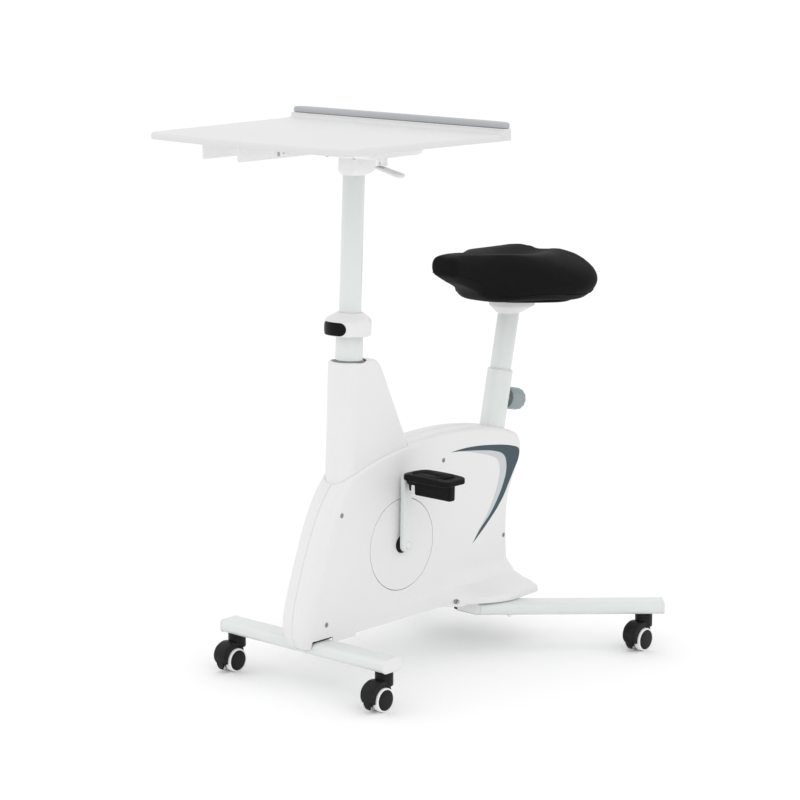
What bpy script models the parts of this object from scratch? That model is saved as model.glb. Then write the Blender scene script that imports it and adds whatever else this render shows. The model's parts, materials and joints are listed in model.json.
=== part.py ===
# A desk exercise bike: a pedal unit with a seat and a height-adjustable desk, on four casters.
# Run with: blender --background --python part.py
# Metres, +Z up. The rider faces -Y, so +X is the rider's left. The floor is z = 0.

import math

import bmesh
import bpy
from mathutils import Matrix, Vector

# Fits between pieces
TOUCH = 0.0003          # gap between two pieces that rest on or in each other
SLIDE_FIT = 0.0004      # radial gap of a tube or rod that slides in a guide
TURN_FIT = 0.0004       # radial gap of a turning shaft in its hole
COVER_FIT = 0.0006      # gap around a plastic cover set into another

# Base
OVERALL_LENGTH = 1.0610    # from the tabletop's far edge to the back of the saddle
OVERALL_HEIGHT = 1.2792    # floor to the top of the hand rest
BAR_UNDERSIDE = 0.088
BAR_DEPTH = 0.060
BAR_HEIGHT = 0.030
BAR_WALL = 0.002
BAR_CORNER = 0.012
FRONT_BAR_LENGTH = 0.513
CAP_FLANGE = 0.005
CAP_PLUG = 0.014
FRONT_CASTER_INSET = 0.0265
LEG_ANGLE = math.radians(46.6)   # each rear leg, away from +Y
LEG_APEX_Y = 0.419      # where the two leg centrelines would meet, behind the front bar
LEG_REACH = 0.553       # from that point to the end of the leg
LEG_CUT_Y = 0.478       # the legs' inner ends are cut square to the bike here
REAR_CASTER_INSET = 0.047
BEAM_WIDTH = 0.070
BEAM_HEIGHT = 0.030
BEAM_WALL = 0.0025
BEAM_END_Y = 0.600
ARM_WIDTH = 0.036
ARM_THICKNESS = 0.004
ARM_FROM_APEX = 0.155

# Casters
WHEEL_DIAMETER = 0.055
WHEEL_WIDTH = 0.0165
WHEEL_SIDE_GAP = 0.0008
HUB_DISC_DIAMETER = 0.046
HUB_DISC_PROUD = 0.0022
CASTER_WEB = 0.011
CASTER_TRAIL = 0.019
CASTER_AXLE_RADIUS = 0.003
CASTER_COLLAR_DIAMETER = 0.041
CASTER_COLLAR_HEIGHT = 0.025
CASTER_STEM_RADIUS = 0.005
CASTER_STEM_LENGTH = 0.027
FENDER_WALL = 0.0022
FENDER_GAP = 0.0014
BRAKE_WIDTH = 0.022

# Desk post, along an axis that leans back
POST_FOOT_Y = 0.1034
POST_LEAN = math.radians(2.565)
POST_OUTER_RADIUS = 0.031
POST_INNER_RADIUS = 0.025
TUBE_WALL = 0.002
POST_TUBE_TOP = 0.834
COLLAR_RADIUS = 0.0515
COLLAR_BOTTOM = 0.795
COLLAR_SHOULDER = 0.8285
COLLAR_TOP = 0.846
COLLAR_MOUTH_RADIUS = 0.0295
POST_INNER_FOOT = 0.690
HEAD_HEIGHT = 0.0432
HEAD_WIDTH = 0.062
HEAD_DEPTH = 0.070
HEAD_SHIFT = 0.012
SPRING_RADIUS = 0.014
SPRING_TOP = 0.885
SPRING_ROD_RADIUS = 0.005
SPRING_ROD_FOOT = 0.600
SPRING_BORE_FOOT = 0.200
SPRING_WALL = 0.0025
SPRING_GUIDE = 0.020

# Desk
DESK_WIDTH = 0.6488        # along the hand rest
DESK_FRONT_WIDTH = 0.590   # along the far edge, which bows outwards
DESK_DEPTH = 0.5132
DESK_FRONT_Y = -0.207
DESK_BOW = 0.015
DESK_THICKNESS = 0.015
DESK_CORNER = 0.020
DESK_REAR_CORNER = 0.008
DESK_EDGE_ROUND = 0.005
LEDGE_HEIGHT = 0.011
LEDGE_DEPTH = 0.027
PAD_HEIGHT = 0.0145
SHEET = 0.0025
CHANNEL_LEFT_X = -0.163
CHANNEL_RIGHT_X = -0.053
CHANNEL_DEPTH = 0.0385
CHANNEL_FRONT_Y = -0.154
RAIL_X = 0.053
RAIL_DEPTH = 0.022
RAIL_END_Y = 0.285
CARRIAGE_FRONT_Y = 0.092
CARRIAGE_REAR_Y = 0.270
CARRIAGE_HALF_WIDTH = 0.104
CARRIAGE_SHEET = 0.003
SHOE_WALL = 0.003
LEVER_BOSS_X = 0.080
LEVER_BOSS_SIZE = 0.020
LEVER_BOSS_DROP = 0.0185
LEVER_LENGTH = 0.078
LEVER_WIDTH = 0.026
LEVER_DROOP = math.radians(11.0)
LEVER_PIN_RADIUS = 0.0025

# Seat
SEAT_FOOT_Y = 0.5268
SEAT_LEAN = math.radians(12.5)
SEAT_OUTER_RADIUS = 0.0305
SEAT_INNER_RADIUS = 0.0255
SEAT_TUBE_TOP = 0.657
SEAT_INNER_FOOT = 0.430
SEAT_INNER_TOP = 0.812
DOME_BOTTOM = 0.793
DOME_RADIUS = 0.057
SADDLE_NOSE_Y = 0.445
SADDLE_WIDTH = 0.397
SADDLE_TOP = 0.930
SADDLE_PAN_TOP = 0.8150
SADDLE_PAN_THICKNESS = 0.007
KNOB_UP_TUBE = 0.592
KNOB_RADIUS = 0.025
KNOB_LENGTH = 0.028
KNOB_NECK_RADIUS = 0.0125
KNOB_LOBES = 5
SEAT_PIN_RADIUS = 0.004
BARREL_RADIUS = 0.009
BARREL_LENGTH = 0.010

# Housing
HOUSING_HALF_WIDTH = 0.045
HOUSING_WALL = 0.0025
HOUSING_SEAM_GAP = 0.0005
HOUSING_BOTTOM = 0.115
TOE_BOTTOM = 0.104
TOE_REAR_Y = 0.102
SKIRT_BOTTOM = 0.1205
SKIRT_START_Y = 0.400
SKIRT_FULL_Y = 0.560
SKIRT_REACH = 0.099
COLUMN_TOP = 0.7360
COLUMN_FOOT = 0.452
COLUMN_HALF_WIDTH = 0.0405
COLUMN_FRONT_TOP = 0.0900
COLUMN_FRONT_FOOT = 0.0775
COLUMN_REAR_TOP = 0.1990
COLUMN_REAR_FOOT = 0.3310
COLUMN_REAR_ROUND = 0.017
COLUMN_WALL = 0.0025
COLUMN_MOUTH_GAP = 0.0035

# Drive
CRANK_Y = 0.2653
CRANK_Z = 0.2932
CRANK_LENGTH = 0.155
CRANK_THICKNESS = 0.012
CRANK_INNER_X = 0.0525
CRANK_AXLE_RADIUS = 0.0085
CRANK_BOSS_RADIUS = 0.0165
CRANK_TIP_RADIUS = 0.013
SPINDLE_RADIUS = 0.006
CRANK_COVER_RADIUS = 0.1075
SEAL_RADIUS = 0.020
SEAL_PROUD = 0.005
BRACKET_RADIUS = 0.020
BRACKET_BORE = 0.0165
BRACKET_LEFT_X = 0.004
BRACKET_RIGHT_X = -0.034
BEARING_WIDTH = 0.009
PULLEY_RADIUS = 0.096
BELT_PLANE_X = 0.016
PULLEY_WIDTH = 0.016
BELT_WIDTH = 0.011
BELT_THICKNESS = 0.0025
FLYWHEEL_Y = 0.455
FLYWHEEL_Z = 0.300
FLYWHEEL_RADIUS = 0.100
FLYWHEEL_INNER_X = -0.009
FLYWHEEL_OUTER_X = -0.029
SMALL_PULLEY_RADIUS = 0.018
FLYWHEEL_AXLE_RADIUS = 0.005
MAGNET_GAP = 0.0025
MAGNET_THICKNESS = 0.008

# Pedals
PEDAL_LENGTH = 0.1435
PEDAL_DEPTH = 0.075
PEDAL_PLATE = 0.0110
PEDAL_CROWN = 0.005
PEDAL_PLATE_Z = 0.0075
PEDAL_WEB = 0.0205
PEDAL_WEB_DROP = 0.0305
PEDAL_WEB_START = 0.022    # from the plate's inner end
PEDAL_WEB_LENGTH = 0.1085
PEDAL_SIDE_GAP = 0.004

# Values worked out from the dimensions above
BAR_TOP = BAR_UNDERSIDE + BAR_HEIGHT
BEAM_BOTTOM = BAR_TOP + TOUCH
BEAM_TOP = BEAM_BOTTOM + BEAM_HEIGHT
WHEEL_RADIUS = WHEEL_DIAMETER / 2
WHEEL_MID_X = CASTER_WEB / 2 + WHEEL_SIDE_GAP + WHEEL_WIDTH / 2
DESK_TOP = OVERALL_HEIGHT - PAD_HEIGHT - TOUCH - LEDGE_HEIGHT
DESK_REAR_Y = DESK_FRONT_Y + DESK_DEPTH
SADDLE_REAR_Y = DESK_FRONT_Y + OVERALL_LENGTH
FRONT_BAR_Y = -(DESK_FRONT_Y + SADDLE_REAR_Y) / 2    # puts the origin below the middle of the bike
DESK_UNDERSIDE = DESK_TOP - DESK_THICKNESS
CHANNEL_TOP = DESK_UNDERSIDE - TOUCH
CARRIAGE_TOP = CHANNEL_TOP - CHANNEL_DEPTH - SLIDE_FIT
CARRIAGE_BOTTOM = CARRIAGE_TOP - CARRIAGE_SHEET
HEAD_BOTTOM = CARRIAGE_BOTTOM - HEAD_HEIGHT
FRONT_CASTER_X = FRONT_BAR_LENGTH / 2 - FRONT_CASTER_INSET
REAR_CASTER_REACH = LEG_REACH - REAR_CASTER_INSET
REAR_CASTER_X = REAR_CASTER_REACH * math.sin(LEG_ANGLE)
REAR_CASTER_Y = LEG_APEX_Y + REAR_CASTER_REACH * math.cos(LEG_ANGLE)

# Finishes: colour, roughness, metallic
WHITE_PLASTIC = ((0.80, 0.80, 0.80), 0.42, 0.0)
WHITE_PAINT = ((0.70, 0.74, 0.72), 0.35, 0.0)
BLACK_PLASTIC = ((0.018, 0.018, 0.019), 0.50, 0.0)
BLACK_COVER = ((0.015, 0.015, 0.016), 0.70, 0.0)
GREY_RUBBER = ((0.42, 0.45, 0.48), 0.65, 0.0)
KNOB_PLASTIC = ((0.28, 0.35, 0.37), 0.50, 0.0)
STEEL = ((0.55, 0.56, 0.58), 0.30, 1.0)
BLACK_RUBBER = ((0.012, 0.012, 0.012), 0.80, 0.0)

# Turning a shape drawn in its own XY plane into the side view (Y, Z) or the front view (X, Z)
SIDE_VIEW = Matrix(((0, 0, 1), (1, 0, 0), (0, 1, 0))).to_4x4()
FRONT_VIEW = Matrix(((1, 0, 0), (0, 0, -1), (0, 1, 0))).to_4x4()


# Scene set-up

for old in list(bpy.data.objects):
    bpy.data.objects.remove(old, do_unlink=True)

bike = bpy.data.collections.new("desk_exercise_bike")
cutters = bpy.data.collections.new("cutters")
bpy.context.scene.collection.children.link(bike)
bpy.context.scene.collection.children.link(cutters)


def empty(name, location, rotation=(0.0, 0.0, 0.0), parent=None):
    """An axis or origin that pieces hang from."""
    obj = bpy.data.objects.new(name, None)
    obj.empty_display_size = 0.03
    obj.location = location
    obj.rotation_euler = rotation
    obj.parent = parent
    bike.objects.link(obj)
    return obj


ORIGIN = empty("bike_origin", (0.0, FRONT_BAR_Y, 0.0))
POST_AXIS = empty("post_axis", (0.0, POST_FOOT_Y, 0.0), (-POST_LEAN, 0.0, 0.0), ORIGIN)
SEAT_AXIS = empty("seat_axis", (0.0, SEAT_FOOT_Y, 0.0), (-SEAT_LEAN, 0.0, 0.0), ORIGIN)
CRANK_AXIS = empty("crank_axis", (0.0, CRANK_Y, CRANK_Z), parent=ORIGIN)
FLYWHEEL_AXIS = empty("flywheel_axis", (0.0, FLYWHEEL_Y, FLYWHEEL_Z), parent=ORIGIN)


def finish(name, look):
    """One Principled material for one piece."""
    colour, roughness, metallic = look
    material = bpy.data.materials.new(name + "_finish")
    material.use_nodes = True
    shader = material.node_tree.nodes["Principled BSDF"]
    shader.inputs["Base Color"].default_value = (*colour, 1.0)
    shader.inputs["Roughness"].default_value = roughness
    shader.inputs["Metallic"].default_value = metallic
    return material


def piece(name, mesh, look, parent=ORIGIN, location=(0.0, 0.0, 0.0), rotation=(0.0, 0.0, 0.0)):
    """A named sub-part of the bike, with its own finish."""
    obj = bpy.data.objects.new(name, mesh)
    obj.parent = parent
    obj.location = location
    obj.rotation_euler = rotation
    bike.objects.link(obj)
    mesh.materials.clear()
    mesh.materials.append(None)
    obj.material_slots[0].link = "OBJECT"
    obj.material_slots[0].material = finish(name, look)
    mesh.shade_smooth()
    mesh.set_sharp_from_angle(angle=math.radians(35.0))
    return obj


# Shapes

def arc(centre, radius, start, end, steps):
    """Points of an arc in a plane, angles in degrees."""
    points = []
    for i in range(steps + 1):
        angle = math.radians(start + (end - start) * i / steps)
        points.append((centre[0] + radius * math.cos(angle), centre[1] + radius * math.sin(angle)))
    return points


def rounded_box(width, height, radius, steps=3, centre=(0.0, 0.0)):
    """Outline of a rectangle with round corners."""
    points = []
    for i, (sx, sy) in enumerate(((1, 1), (-1, 1), (-1, -1), (1, -1))):
        corner = (centre[0] + sx * (width / 2 - radius), centre[1] + sy * (height / 2 - radius))
        points += arc(corner, radius, 90.0 * i, 90.0 * (i + 1), steps)
    return points


def circle(radius, steps, centre=(0.0, 0.0)):
    return arc(centre, radius, 0.0, 360.0, steps)[:-1]


def smooth_curve(keys, per_span):
    """Points of a Catmull-Rom curve through the key points."""
    points = []
    padded = [keys[0]] + list(keys) + [keys[-1]]
    for i in range(1, len(padded) - 2):
        before, start, end, after = (Vector(padded[i + k]) for k in (-1, 0, 1, 2))
        for step in range(per_span):
            t = step / per_span
            bend = (end - before) * t
            bend += (2 * before - 5 * start + 4 * end - after) * t ** 2
            bend += (3 * start - before - 3 * end + after) * t ** 3
            points.append(tuple(start + bend / 2))
    points.append(tuple(keys[-1]))
    return points


def evaluated_mesh(obj, weld=False):
    """The finished mesh of an object, with the object itself removed."""
    graph = bpy.context.evaluated_depsgraph_get()
    mesh = bpy.data.meshes.new_from_object(obj.evaluated_get(graph), depsgraph=graph)
    mesh.transform(obj.matrix_world)
    if weld:
        bm = bmesh.new()
        bm.from_mesh(mesh)
        bmesh.ops.remove_doubles(bm, verts=bm.verts, dist=0.000001)
        bmesh.ops.recalc_face_normals(bm, faces=bm.faces)
        bm.to_mesh(mesh)
        bm.free()
    bpy.data.objects.remove(obj, do_unlink=True)
    return mesh


def plate(outlines, thickness, view=None, offset=(0.0, 0.0, 0.0)):
    """A flat plate from closed outlines, the first outside and the rest holes."""
    data = bpy.data.curves.new("outline", "CURVE")
    data.dimensions = "2D"
    data.fill_mode = "BOTH"
    data.extrude = thickness / 2
    for outline in outlines:
        spline = data.splines.new("POLY")
        spline.points.add(len(outline) - 1)
        for point, place in zip(spline.points, outline):
            point.co = (place[0], place[1], 0.0, 1.0)
        spline.use_cyclic_u = True
    obj = bpy.data.objects.new("outline", data)
    cutters.objects.link(obj)
    bpy.context.view_layer.update()
    mesh = evaluated_mesh(obj, weld=True)
    bpy.data.curves.remove(data)
    if view is not None:
        mesh.transform(view)
    mesh.transform(Matrix.Translation(offset))
    return mesh


def turned(profile, steps=32, view=None, offset=(0.0, 0.0, 0.0)):
    """A turned shape from a closed or axis-to-axis profile of (radius, height), outer side down."""
    mesh = bpy.data.meshes.new("profile")
    edges = [(i, i + 1) for i in range(len(profile) - 1)]
    on_axis = profile[0][0] == 0.0 and profile[-1][0] == 0.0
    if not on_axis:
        edges.append((len(profile) - 1, 0))
    mesh.from_pydata([(r, 0.0, z) for r, z in profile], edges, [])
    obj = bpy.data.objects.new("profile", mesh)
    cutters.objects.link(obj)
    screw = obj.modifiers.new("Turn", "SCREW")
    screw.steps = steps
    screw.render_steps = steps
    screw.use_merge_vertices = True
    screw.merge_threshold = 0.00001
    bpy.context.view_layer.update()
    result = evaluated_mesh(obj, weld=True)
    if view is not None:
        result.transform(view)
    result.transform(Matrix.Translation(offset))
    return result


def tube(outer, inner, bottom, top, steps=24):
    """A straight round tube along Z."""
    return turned([(outer, top), (outer, bottom), (inner, bottom), (inner, top)], steps)


def rod(radius, bottom, top, steps=16, view=None, offset=(0.0, 0.0, 0.0)):
    """A straight round bar along Z, or along X in the side view."""
    bm = bmesh.new()
    bmesh.ops.create_cone(bm, cap_ends=True, segments=steps, radius1=radius, radius2=radius,
                          depth=top - bottom)
    bmesh.ops.translate(bm, vec=(0.0, 0.0, (top + bottom) / 2), verts=bm.verts)
    mesh = bpy.data.meshes.new("rod")
    bm.to_mesh(mesh)
    bm.free()
    if view is not None:
        mesh.transform(view)
    mesh.transform(Matrix.Translation(offset))
    return mesh


def block(size, centre, rotation=0.0):
    """A plain box, turned about Z by an angle."""
    bm = bmesh.new()
    bmesh.ops.create_cube(bm, size=1.0)
    bmesh.ops.scale(bm, vec=size, verts=bm.verts)
    bmesh.ops.rotate(bm, matrix=Matrix.Rotation(rotation, 3, "Z"), verts=bm.verts)
    bmesh.ops.translate(bm, vec=centre, verts=bm.verts)
    mesh = bpy.data.meshes.new("block")
    bm.to_mesh(mesh)
    bm.free()
    return mesh


def combined(base, others, operation):
    """The Boolean of a mesh with other meshes, as one new mesh."""
    obj = bpy.data.objects.new("base", base)
    cutters.objects.link(obj)
    helpers = []
    for mesh in others:
        helper = bpy.data.objects.new("helper", mesh)
        helper.hide_render = True
        helper.display_type = "WIRE"
        cutters.objects.link(helper)
        helpers.append(helper)
        boolean = obj.modifiers.new("Boolean", "BOOLEAN")
        boolean.operation = operation
        boolean.object = helper
    bpy.context.view_layer.update()
    result = evaluated_mesh(obj)
    for helper in helpers:
        bpy.data.objects.remove(helper, do_unlink=True)
    return result


def joined(base, *others):
    return combined(base, others, "UNION")


def cut(base, *others):
    return combined(base, others, "DIFFERENCE")


def softened(mesh, width, segments=2, angle=40.0):
    """The mesh with its sharp edges rounded."""
    obj = bpy.data.objects.new("sharp", mesh)
    cutters.objects.link(obj)
    bevel = obj.modifiers.new("Bevel", "BEVEL")
    bevel.width = width
    bevel.segments = segments
    bevel.limit_method = "ANGLE"
    bevel.angle_limit = math.radians(angle)
    bpy.context.view_layer.update()
    return evaluated_mesh(obj)


def mirrored(mesh):
    """The other hand of a piece, with its faces still pointing out."""
    result = mesh.copy()
    result.transform(Matrix.Scale(-1.0, 4, (1.0, 0.0, 0.0)))
    result.flip_normals()
    return result


def moved(mesh, offset, rotation=0.0, axis="Z"):
    """A copy of a mesh, turned about an axis through its origin and then shifted."""
    result = mesh.copy()
    result.transform(Matrix.Translation(offset) @ Matrix.Rotation(rotation, 4, axis))
    return result


# Base frame

def bar_tube(length):
    """The rounded rectangular tube of the bars, along X, with its underside at z = 0."""
    outside = rounded_box(BAR_DEPTH, BAR_HEIGHT, BAR_CORNER)
    inside = rounded_box(BAR_DEPTH - 2 * BAR_WALL, BAR_HEIGHT - 2 * BAR_WALL, BAR_CORNER - BAR_WALL)
    return plate([outside, inside], length, SIDE_VIEW, (0.0, 0.0, BAR_HEIGHT / 2))


def bar_cap():
    """The plastic end cap of a bar, its flange from x = 0 outwards and its plug inwards."""
    flange = plate([rounded_box(BAR_DEPTH, BAR_HEIGHT, BAR_CORNER)], CAP_FLANGE, SIDE_VIEW,
                   (CAP_FLANGE / 2, 0.0, BAR_HEIGHT / 2))
    flange = softened(flange, CAP_FLANGE * 0.45, 1, 60.0)
    slack = 2 * (BAR_WALL + TOUCH)
    plug = plate([rounded_box(BAR_DEPTH - slack, BAR_HEIGHT - slack, BAR_CORNER - BAR_WALL - TOUCH, 1)],
                 CAP_PLUG, SIDE_VIEW, (CAP_FLANGE / 2 - CAP_PLUG / 2, 0.0, BAR_HEIGHT / 2))
    return joined(flange, plug)


def stem_hole(x, y=0.0):
    """Cutter for a caster stem's hole in the underside of a bar."""
    hole = rod(CASTER_STEM_RADIUS + TURN_FIT, -0.004, BAR_WALL + 0.004)
    return moved(hole, (x, y, 0.0))


def build_base():
    bar_length = FRONT_BAR_LENGTH - 2 * CAP_FLANGE - 2 * TOUCH
    front = cut(bar_tube(bar_length), stem_hole(FRONT_CASTER_X), stem_hole(-FRONT_CASTER_X))
    piece("front_bar", front, WHITE_PAINT, location=(0.0, 0.0, BAR_UNDERSIDE))
    cap_x = bar_length / 2 + TOUCH
    piece("front_bar_cap_left", bar_cap(), WHITE_PLASTIC, location=(cap_x, 0.0, BAR_UNDERSIDE))
    piece("front_bar_cap_right", bar_cap(), WHITE_PLASTIC, location=(-cap_x, 0.0, BAR_UNDERSIDE),
          rotation=(0.0, 0.0, math.pi))

    # A leg runs along local X from the apex; the square cut is made in the bike's own directions.
    tube_end = LEG_REACH - CAP_FLANGE - TOUCH
    for side, name in ((1, "left"), (-1, "right")):
        turn = math.pi / 2 - side * LEG_ANGLE
        leg = moved(bar_tube(tube_end), (tube_end / 2, 0.0, 0.0))
        leg = cut(leg, stem_hole(REAR_CASTER_REACH))
        leg = moved(leg, (0.0, 0.0, 0.0), turn)
        room = block((0.6, 0.4, 0.2), (0.0, LEG_CUT_Y - LEG_APEX_Y - 0.2, 0.0))
        piece("rear_leg_" + name, cut(leg, room), WHITE_PAINT, location=(0.0, LEG_APEX_Y, BAR_UNDERSIDE))
        reach = LEG_REACH - CAP_FLANGE
        end = (side * reach * math.sin(LEG_ANGLE), LEG_APEX_Y + reach * math.cos(LEG_ANGLE), BAR_UNDERSIDE)
        piece("rear_leg_cap_" + name, bar_cap(), WHITE_PLASTIC, location=end, rotation=(0.0, 0.0, turn))


def side_plate(outline, x_low, x_high):
    """A plate in the side view between two X positions."""
    return plate([outline], x_high - x_low, SIDE_VIEW, ((x_low + x_high) / 2, 0.0, 0.0))


def build_main_frame():
    """The welded frame: beam, rear arms, crank bracket, flywheel fork and axle."""
    beam_length = BEAM_END_Y + BAR_DEPTH / 2
    outside = rounded_box(BEAM_WIDTH, BEAM_HEIGHT, 0.004, 2)
    inside = rounded_box(BEAM_WIDTH - 2 * BEAM_WALL, BEAM_HEIGHT - 2 * BEAM_WALL, 0.0015, 1)
    beam_mid = ((BEAM_END_Y - BAR_DEPTH / 2) / 2, (BEAM_BOTTOM + BEAM_TOP) / 2)
    frame = plate([outside, inside], beam_length, FRONT_VIEW, (0.0, beam_mid[0], beam_mid[1]))
    arms = []
    for side in (1, -1):
        arm = block((ARM_FROM_APEX, ARM_WIDTH, ARM_THICKNESS), (ARM_FROM_APEX / 2, 0.0, 0.0))
        arms.append(moved(arm, (0.0, LEG_APEX_Y, BEAM_BOTTOM + ARM_THICKNESS / 2),
                          math.pi / 2 - side * LEG_ANGLE))
    strut_half = 0.055
    strut = side_plate([(CRANK_Y + strut_half, BEAM_TOP - 0.001), (CRANK_Y + 0.015, CRANK_Z),
                        (CRANK_Y - 0.015, CRANK_Z), (CRANK_Y - strut_half, BEAM_TOP - 0.001)],
                       BRACKET_RIGHT_X + BEARING_WIDTH + 0.002, BRACKET_RIGHT_X + BEARING_WIDTH + 0.008)
    bracket = rod(BRACKET_RADIUS, BRACKET_RIGHT_X, BRACKET_LEFT_X, 24, SIDE_VIEW, (0.0, CRANK_Y, CRANK_Z))
    bore = rod(BRACKET_BORE, BRACKET_RIGHT_X - 0.01, BRACKET_LEFT_X + 0.01, 24, SIDE_VIEW,
               (0.0, CRANK_Y, CRANK_Z))
    fork_outline = [(FLYWHEEL_Y + 0.055, BEAM_TOP - 0.001)]
    fork_outline += arc((FLYWHEEL_Y, FLYWHEEL_Z), 0.016, 0.0, 180.0, 8)
    fork_outline += [(FLYWHEEL_Y - 0.055, BEAM_TOP - 0.001)]
    fork_outer = BEAM_WIDTH / 2
    forks = [side_plate(fork_outline, fork_outer - 0.004, fork_outer),
             side_plate(fork_outline, -fork_outer, 0.004 - fork_outer)]
    axle = rod(FLYWHEEL_AXLE_RADIUS, -fork_outer + 0.001, fork_outer - 0.001, 12, SIDE_VIEW,
               (0.0, FLYWHEEL_Y, FLYWHEEL_Z))
    frame = joined(frame, *arms, strut, bracket, *forks, axle)
    piece("main_frame", cut(frame, bore), WHITE_PAINT)


# Casters

def caster_meshes():
    """The four shapes of a twin-wheel caster, about its swivel axis, with the floor at z = 0."""
    axle = (0.0, -CASTER_TRAIL, WHEEL_RADIUS)
    fender_inside = WHEEL_RADIUS + FENDER_GAP
    fender_outside = fender_inside + FENDER_WALL
    centre = (axle[1], axle[2])
    full_width = 2 * WHEEL_MID_X + WHEEL_WIDTH
    # The hood starts as a solid sector, and the wheels' rooms are then cut out on both sides.
    sector = arc(centre, fender_outside, 42.0, 188.0, 7) + arc(centre, 0.008, 225.0, 330.0, 2)
    hood = plate([sector], full_width, SIDE_VIEW)
    collar_top = BAR_UNDERSIDE - TOUCH
    collar_bottom = collar_top - CASTER_COLLAR_HEIGHT
    radius = CASTER_COLLAR_DIAMETER / 2
    stem_top = collar_top + CASTER_STEM_LENGTH
    collar = turned([(0.0, stem_top), (CASTER_STEM_RADIUS, stem_top), (CASTER_STEM_RADIUS, collar_top),
                     (radius, collar_top), (radius, collar_bottom + 0.004), (radius - 0.004, collar_bottom),
                     (radius - 0.006, collar_bottom - 0.018), (0.0, collar_bottom - 0.018)], 12)
    room_end = WHEEL_MID_X + WHEEL_WIDTH
    room = rod(fender_inside, CASTER_WEB / 2, room_end, 18, SIDE_VIEW, axle)
    pin_end = WHEEL_MID_X + WHEEL_WIDTH * 0.2
    pin = rod(CASTER_AXLE_RADIUS, -pin_end, pin_end, 8, SIDE_VIEW, axle)
    hood = joined(hood, collar)
    hood = cut(hood, room, mirrored(room))
    hood = joined(hood, pin)
    brake_top = (axle[1] - fender_outside * math.cos(math.radians(8.0)),
                 axle[2] - fender_outside * math.sin(math.radians(8.0)))
    ear_gap = plate([rounded_box(0.016, 0.016, 0.004, 2, (brake_top[0], brake_top[1] + 0.004))],
                    BRAKE_WIDTH + 2 * COVER_FIT, SIDE_VIEW)
    hood = cut(hood, ear_gap)

    bore = CASTER_AXLE_RADIUS + TURN_FIT
    half = WHEEL_WIDTH / 2
    disc = HUB_DISC_DIAMETER / 2
    tread = [(WHEEL_RADIUS - 0.0025, half), (WHEEL_RADIUS, half - 0.0035), (WHEEL_RADIUS, -half + 0.0035),
             (WHEEL_RADIUS - 0.0025, -half)]
    face = half + HUB_DISC_PROUD
    wheel_profile = [(0.0, face), (disc, face), (disc, half)] + tread
    wheel_profile += [(bore, -half), (bore, half * 0.6), (0.0, half * 0.6)]
    wheel = turned(wheel_profile, 16, SIDE_VIEW)

    brake_outline = [(0.004, 0.010), (-0.004, 0.010), (-0.0065, 0.002), (-0.0045, -0.014),
                     (-0.0015, -0.015), (-0.0015, -0.004), (0.0005, 0.002)]
    brake = plate([[(brake_top[0] + y - 0.0005, brake_top[1] + z) for y, z in brake_outline]],
                  BRAKE_WIDTH, SIDE_VIEW)
    return hood, wheel, brake, axle, brake_top


def build_casters():
    hood, wheel, brake, axle, brake_pivot = caster_meshes()
    places = (("front_left", FRONT_CASTER_X, 0.0), ("front_right", -FRONT_CASTER_X, 0.0),
              ("rear_left", REAR_CASTER_X, REAR_CASTER_Y), ("rear_right", -REAR_CASTER_X, REAR_CASTER_Y))
    for place, x, y in places:
        swivel = empty("caster_" + place + "_swivel", (x, y, 0.0), parent=ORIGIN)
        piece("caster_" + place + "_hood", hood.copy(), BLACK_PLASTIC, swivel)
        for side, hand in ((1, "left"), (-1, "right")):
            name = "caster_" + place + "_wheel_" + hand
            turn = (0.0, 0.0, 0.0) if side == 1 else (0.0, 0.0, math.pi)
            piece(name, wheel.copy(), BLACK_PLASTIC, swivel, (side * WHEEL_MID_X, axle[1], axle[2]), turn)
        pivot = (0.0, brake_pivot[0], brake_pivot[1])
        mesh = moved(brake, (0.0, -pivot[1], -pivot[2]))
        piece("caster_" + place + "_brake", mesh, BLACK_PLASTIC, swivel, pivot)


# Housing

FRONT_EDGE = ((-0.040, 0.098), (-0.053, 0.130), (-0.053, 0.165), (-0.043, 0.210), (-0.021, 0.276),
              (0.001, 0.334), (0.031, 0.397), (0.064, 0.446), (0.100, 0.483))
TOP_EDGE = ((0.100, 0.483), (0.180, 0.507), (0.270, 0.522), (0.360, 0.530), (0.440, 0.532),
            (0.520, 0.528), (0.600, 0.517), (0.658, 0.502))
REAR_EDGE = ((0.658, 0.502), (0.690, 0.486), (0.7015, 0.457), (0.693, 0.420), (0.668, 0.372),
             (0.652, 0.325), (0.648, 0.262), (0.648, 0.200), (0.650, 0.098))
# Share of the skirt's reach by height, from the floor side up, and the fall to the rear tip
SKIRT_RISE = ((0.098, 1.0), (0.130, 1.0), (0.141, 0.84), (0.149, 0.50), (0.160, 0.22), (0.190, 0.0))
SKIRT_TIP_Y = 0.650
SKIRT_TIP_SHARE = 0.93
FRONT_EDGE_ROUND = 0.028
TOP_EDGE_ROUND = 0.014
EDGE_STEPS = 3


def share_at(table, value):
    """A value read from a table of (place, share), by straight lines."""
    for (a, share_a), (b, share_b) in zip(table, table[1:]):
        if value <= b:
            return share_a + (share_b - share_a) * max(0.0, (value - a) / (b - a))
    return table[-1][1]


def skirt_spread(y, z):
    """How far the housing's side stands out over a rear leg at a place on its side view."""
    along = min(1.0, max(0.0, (y - SKIRT_START_Y) / (SKIRT_FULL_Y - SKIRT_START_Y)))
    spread = SKIRT_REACH * math.sin(math.pi / 2 * along) * share_at(SKIRT_RISE, z)
    tail = max(0.0, (y - SKIRT_FULL_Y) / (SKIRT_TIP_Y - SKIRT_FULL_Y))
    return spread * (1.0 - (1.0 - SKIRT_TIP_SHARE) * tail)


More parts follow.
